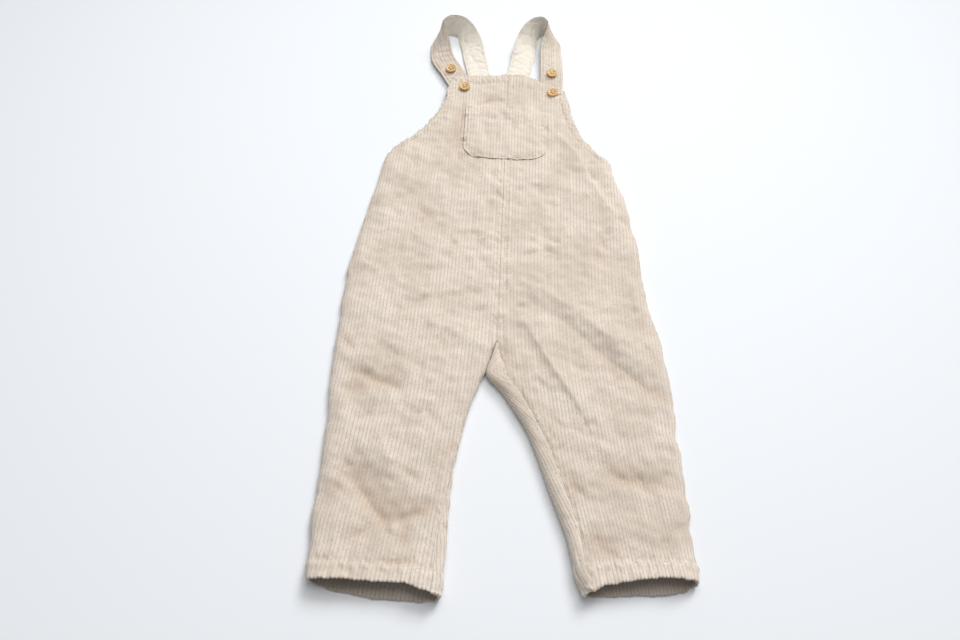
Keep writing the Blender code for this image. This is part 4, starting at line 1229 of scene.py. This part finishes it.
button = {
    "radius": 5.8,
    "height": 2.8,
    "rim": 1.3,
    "dish": 0.7,
    "foot": 4.6,
    "holeRadius": 1.0,
    "holeOffset": 1.45,
    "stand": 0.5,               # a strap's button stands this far off the strap
}
bibButtons = {"left": (-47, 315), "right": (49, 310)}


def buttonSurface():
    # A turned profile of radius and height swept round a circle; four round wells sink
    # the dished middle
    floor = button["height"] - button["dish"]
    inner = button["radius"] - button["rim"]
    edge = button["radius"]
    profileR = (0, 1.6, 2.6, inner - 0.9, inner - 0.2, inner + 0.35, edge - 0.55, edge - 0.12, edge,
                edge - 0.05, edge - 0.5, button["foot"], 2.0, 0)
    top = button["height"]
    profileZ = (floor - 0.05, floor - 0.05, floor, floor + 0.08, floor + 0.35, top, top - 0.02, top - 0.35,
                top - 0.9, 1.2, 0.45, 0.05, 0, 0)
    steps = np.concatenate((np.linspace(0, 3, 34), np.linspace(3, len(profileR) - 1, 34)[1:]))
    read = smoothRead(np.arange(len(profileR)), np.stack((profileR, profileZ), axis=1), steps)
    turns = np.linspace(0, 2 * math.pi, 88, endpoint=False)
    radius = read[1:-1, 0:1]
    x = radius * np.cos(turns)
    y = radius * np.sin(turns)
    z = np.broadcast_to(read[1:-1, 1:2], x.shape).copy()
    upper = (steps[1:-1] < 4)[:, None]
    for sx in (-1, 1):
        for sy in (-1, 1):
            away = np.hypot(x - sx * button["holeOffset"], y - sy * button["holeOffset"])
            well = 1 - smoothStep(away, button["holeRadius"] * 0.75, button["holeRadius"] * 1.15)
            z -= 1.5 * well * upper
    grid = np.stack((x, y, z), axis=-1)
    rings, around = x.shape
    index = np.arange(rings * around).reshape(rings, around)
    wrapped = np.concatenate((index, index[:, :1]), axis=1)
    quads = np.stack((wrapped[:-1, :-1], wrapped[1:, :-1], wrapped[1:, 1:], wrapped[:-1, 1:]),
                     axis=-1).reshape(-1, 4).tolist()
    topPole, lowPole = rings * around, rings * around + 1
    caps = [(topPole, int(a), int(b)) for a, b in zip(wrapped[0, :-1], wrapped[0, 1:])]
    caps += [(lowPole, int(b), int(a)) for a, b in zip(wrapped[-1, :-1], wrapped[-1, 1:])]
    poles = np.array(((0, 0, read[0, 1]), (0, 0, read[-1, 1])))
    return np.concatenate((grid.reshape(-1, 3), poles)), quads + caps


def capsules(starts, ends, normals, radius, arch=0.35, roundSides=6):
    # Short threads: a tube of six sides whose middle line is an arch from start to end,
    # standing along the normal, and whose radius swells towards its middle
    t = np.linspace(0, 1, 5)
    swell = np.array((0.25, 0.85, 1.0, 0.85, 0.25)) * radius
    path = starts[:, None, :] + (ends - starts)[:, None, :] * t[None, :, None]
    path = path + normals[:, None, :] * (np.sin(math.pi * t) * arch)[None, :, None]
    along = unit(ends - starts)
    side = unit(np.cross(along, normals))
    up = np.cross(side, along)
    angles = np.linspace(0, 2 * math.pi, roundSides, endpoint=False)
    ring = side[:, None, None, :] * np.cos(angles)[None, None, :, None]
    ring = ring + up[:, None, None, :] * np.sin(angles)[None, None, :, None]
    points = path[:, :, None, :] + ring * swell[None, :, None, None]
    one = np.arange(5 * roundSides).reshape(5, roundSides)
    wrapped = np.concatenate((one, one[:, :1]), axis=1)
    quads = np.stack((wrapped[:-1, :-1], wrapped[:-1, 1:], wrapped[1:, 1:], wrapped[1:, :-1]),
                     axis=-1).reshape(-1, 4)
    capFaces = np.stack((one[0, ::-1], one[-1]))
    offsets = (np.arange(len(starts)) * 5 * roundSides)[:, None, None]
    faces = (quads[None] + offsets).reshape(-1, 4).tolist()
    faces += (capFaces[None] + offsets).reshape(-1, roundSides).tolist()
    return points.reshape(-1, 3), faces


def placeButton(name, place, facing, turn):
    # Moves the button's points to its place, turned to face off the cloth
    points, faces = buttonSurface()
    up = unit(np.array(facing, float))
    right = unit(np.cross((0.0, 1.0, 0.0), up))
    away = np.cross(up, right)
    spin = math.radians(turn)
    basis = np.stack((right * math.cos(spin) + away * math.sin(spin),
                      away * math.cos(spin) - right * math.sin(spin), up))
    piece = addMesh(name, points @ basis + place, faces, None, (wood,))
    offset = button["holeOffset"]
    floor = button["height"] - button["dish"]
    starts = np.array(((-offset, -offset, floor - 0.35), (-offset, offset, floor - 0.35)))
    ends = np.array(((offset, offset, floor - 0.35), (offset, -offset, floor - 0.35)))
    rises = np.tile((0.0, 0.0, 1.0), (2, 1))
    crossing, crossFaces = capsules(starts, ends, rises, 0.42, 0.85)
    crossing[30:, 2] += 0.12
    addMesh(name + "_thread", crossing @ basis + place, crossFaces, None, (buttonThread,))
    return piece


def buildButtons(side):
    x, y = bibButtons[side]
    onBib = np.array((x, y, crown(y) + seamGap))
    placeButton("bib_button_wood_" + side, onBib, (0, 0, 1), 12 if side == "left" else 70)
    middle, _, faces, _ = strapPath(side, strapCloth["cadRows"])
    point = straps[side][strapCloth["buttonPoint"]]
    row = int(np.argmin(np.hypot(middle[:, 0] - point[0], middle[:, 1] - point[1])))
    onStrap = middle[row] - faces[row] * (strapThick / 2 + button["stand"])
    placeButton("strap_button_wood_" + side, onStrap, -faces[row], 35 if side == "left" else 4)


for side in sides:
    buildButtons(side)
print("buttons made")


# Stitches

stitch = {
    "length": 2.5,
    "pitch": 3.1,
    "radius": 0.24,
    "sink": 0.62,               # below the top of the cords
}


def spaced(start, end, step):
    return np.arange(start, end, step)


def stitchAlong(points, normals, seed):
    # Stitches between neighbours of a line of points, a little uneven in place
    draw = np.random.default_rng(seed)
    share = stitch["length"] / stitch["pitch"]
    points = points - normals * stitch["sink"]
    jitter = draw.normal(0, 0.09, points.shape)
    points = points + jitter - normals * (jitter * normals).sum(axis=1, keepdims=True)
    starts, ends = points[:-1], points[:-1] + (points[1:] - points[:-1]) * share
    return starts, ends, normals[:-1]


def panelStitches(side):
    lines = []
    front, back = panels[(side, True)], panels[(side, False)]
    step = stitch["pitch"]
    low, high = front["rows"][0], front["rows"][-1]
    for base in (front, back):
        row = low + panelCloth["hemDepth"]
        length = np.interp(row, base["rows"], base["lengths"])
        arcs = spaced(3, length - 3, step)
        lines.append(onPanel(base, np.full(arcs.size, row), arcs))
        rows = spaced(222 if side == "left" else 205, high - 3, step * 0.8)
        for arc in (panelCloth["armholeBand"], 2.2):
            lines.append(onPanel(base, rows, np.full(rows.size, arc)))
        for depth in (panelCloth["topBand"], 2.2):
            row = base["rows"][-1] - depth
            length = np.interp(row, base["rows"], base["lengths"])
            arcs = spaced(3, length - 2, step)
            lines.append(onPanel(base, np.full(arcs.size, row), arcs))
    if side == "right":
        rows = spaced(4, high - 3, step)
        lines.append(onPanel(front, rows, np.full(rows.size, 5.0), True))
    rows = spaced(low + 16, -70 if side == "left" else -30, step)
    lines.append(onPanel(back, rows, np.full(rows.size, 2.6), True))
    return lines


def pocketStitches():
    # Round the sides and the lower edge, and along the turned band
    half, corner = pocket["half"] - 2.4, pocket["corner"] - 2.4
    turn = np.linspace(0, math.pi / 2, 12)
    low = pocket["low"] + 2.4
    rightX = half - corner + corner * np.sin(turn)
    rightY = low + corner - corner * np.cos(turn)
    highLeft, highRight = np.interp((-half, half), pocket["topX"], pocket["topY"]) - 1
    x = np.concatenate(([-half], -rightX[::-1], rightX, [half]))
    y = np.concatenate(([highLeft], rightY[::-1], rightY, [highRight]))
    run = running(np.stack((x, y), axis=1))
    marks = spaced(1, run[-1], stitch["pitch"])
    edgeX = np.interp(marks, run, x)
    edgeY = np.interp(marks, run, y) - pocket["bow"] * (1 - (edgeX / pocket["half"]) ** 2)
    bandX = spaced(-half + 2, half - 2, stitch["pitch"])
    bandY = np.interp(bandX, pocket["topX"], pocket["topY"]) - pocket["band"]
    for x, y in ((edgeX, edgeY), (bandX, bandY)):
        z = bibHeight(x, y) + pocket["lift"] + pocket["wall"]
        yield np.stack((x, y, z), axis=1), np.tile((0.0, 0.0, 1.0), (x.size, 1))


def strapStitches(side):
    # Down both edges of the strap, seen on its face and on its lining
    edge = strapCloth["width"] / 2 - strapCloth["stitchInset"]
    for turned in (-1, 1):
        grid, faces, run = strapSheet(side, np.array((-edge, edge)), turned * strapThick / 2)
        marks = spaced(3, run[-1] - 3, stitch["pitch"])
        for column in (0, 1):
            line = np.stack([np.interp(marks, run, grid[:, column, k]) for k in range(3)], axis=1)
            facing = np.stack([np.interp(marks, run, faces[:, column, k]) for k in range(3)], axis=1)
            shallow = facing * (0.0 if turned < 0 else 0.25)
            yield line + shallow, unit(facing) * turned


def buildStitches():
    starts, ends, normals = [], [], []
    for line, (points, facing) in enumerate(pocketStitches()):
        made = stitchAlong(points, facing, 300 + line)
        for store, part in zip((starts, ends, normals), made):
            store.append(part)
    for number, side in enumerate(sides):
        for line, (points, facing) in enumerate((*panelStitches(side), *strapStitches(side))):
            made = stitchAlong(points, facing, 100 * number + line)
            for store, part in zip((starts, ends, normals), made):
                store.append(part)
    points, faces = capsules(*(np.concatenate(part) for part in (starts, ends, normals)),
                             stitch["radius"])
    piece = addMesh("stitches", points, faces, None, (thread,))
    print("stitches", len(faces), "faces")
    return piece


stitches = buildStitches()


# The solids that the new pieces stand for are hidden; the cut of each sheet is read but not used

garmentCut = {
    # flat width and length, and area where the cut isn't a rectangle, in metres
    "front": ((0.172, 0.572), {"left": 0.0790, "right": 0.0780}),
    "back": ((0.190, 0.566), {"left": 0.0790, "right": 0.0800}),
    "pocket": ((0.088, 0.0705), 0.0058),
}

for side in sides:
    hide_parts("front_panel_" + side)
    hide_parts("back_panel_" + side)
    face, inside, length = strapPieces[side]
    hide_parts("strap_" + side)
    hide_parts("strap_lining_" + side)
    for kind in ("bib", "strap"):
        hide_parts(kind + "_button_" + side)
    for key, front in (("front", True), ("back", False)):
        flat, areas = garmentCut[key]
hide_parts("bib_pocket")
flat, area = garmentCut["pocket"]


# Table, light and camera

studio = {
    "tableSize": 16.0,
    "tableColour": "ECF0F6",
    "keyStrength": 1.65,
    "keyAngle": 22.0,           # degrees; how soft its shadows are
    "overheadPower": 8.6,
    "overheadSize": 0.9,
    "worldLight": 0.31,
}


def softbox(name, place, power, size):
    # A square area light that looks at the middle of the garment
    data = bpy.data.lights.new(name, "AREA")
    data.energy = power
    data.size = size
    data.color = hexColour("FFFDF9")[:3]
    light = bpy.data.objects.new(name, data)
    light.location = place
    light.rotation_mode = "QUATERNION"
    light.rotation_quaternion = (-light.location).to_track_quat("-Z", "Y")
    bpy.context.scene.collection.objects.link(light)


def buildStudio():
    mesh = bpy.data.meshes.new("table")
    half = studio["tableSize"] / 2
    drop = cadBox[0].z
    mesh.from_pydata([(-half, -half, drop), (half, -half, drop), (half, half, drop), (-half, half, drop)],
                     [], [(0, 1, 2, 3)])
    # Matt painted board: a smooth pale ground with no gloss
    material, tree, shader = newMaterial("matt white board", {"Roughness": 0.75, "Specular IOR Level": 0.2})
    where = addNode(tree, "TexCoord").outputs["Object"]
    cloud = addNode(tree, "TexNoise", inputs={"Vector": where, "Scale": 1.5})
    tone = addNode(tree, "MapRange", inputs={"Value": cloud.outputs["Fac"], "To Min": 0.985, "To Max": 1.0})
    colour = addNode(tree, "VectorMath", {"operation": "SCALE"},
                     {0: hexColour(studio["tableColour"])[:3], "Scale": tone.outputs[0]})
    tree.links.new(colour.outputs[0], shader.inputs["Base Color"])
    mesh.materials.append(material)
    table = bpy.data.objects.new("table", mesh)
    bpy.context.scene.collection.objects.link(table)

    # A broad bank of lamps far off beyond the straps and to the right
    data = bpy.data.lights.new("key light", "SUN")
    data.energy = studio["keyStrength"]
    data.angle = math.radians(studio["keyAngle"])
    key = bpy.data.objects.new("key light", data)
    key.rotation_mode = "QUATERNION"
    key.rotation_quaternion = Vector((-0.45, -0.8, -0.72)).to_track_quat("-Z", "Y")
    bpy.context.scene.collection.objects.link(key)
    softbox("overhead light", (0.12, 0.32, 1.1), studio["overheadPower"], studio["overheadSize"])

    world = bpy.data.worlds.new("studio")
    bpy.context.scene.world = world
    world.use_nodes = True
    ground = world.node_tree.nodes["Background"]
    ground.inputs["Color"].default_value = hexColour("F7F6F5")
    ground.inputs["Strength"].default_value = studio["worldLight"]
    bpy.context.scene.view_settings.view_transform = "Standard"


# The camera's numbers come from another script, as report.md says.
def buildCamera():
    # Seen from above the hems, leaning towards the straps
    data = bpy.data.cameras.new("camera")
    data.lens = 30.0
    data.sensor_width = 36.0
    camera = bpy.data.objects.new("camera", data)
    camera.location = Vector((-7.57, -445.2, 637.0)) * mm
    aim = Vector((-25.14, -70.94, 0.0)) * mm
    camera.rotation_mode = "QUATERNION"
    camera.rotation_quaternion = (aim - camera.location).to_track_quat("-Z", "Y")
    bpy.context.scene.collection.objects.link(camera)
    bpy.context.scene.camera = camera


buildStudio()
buildCamera()
print("studio made")
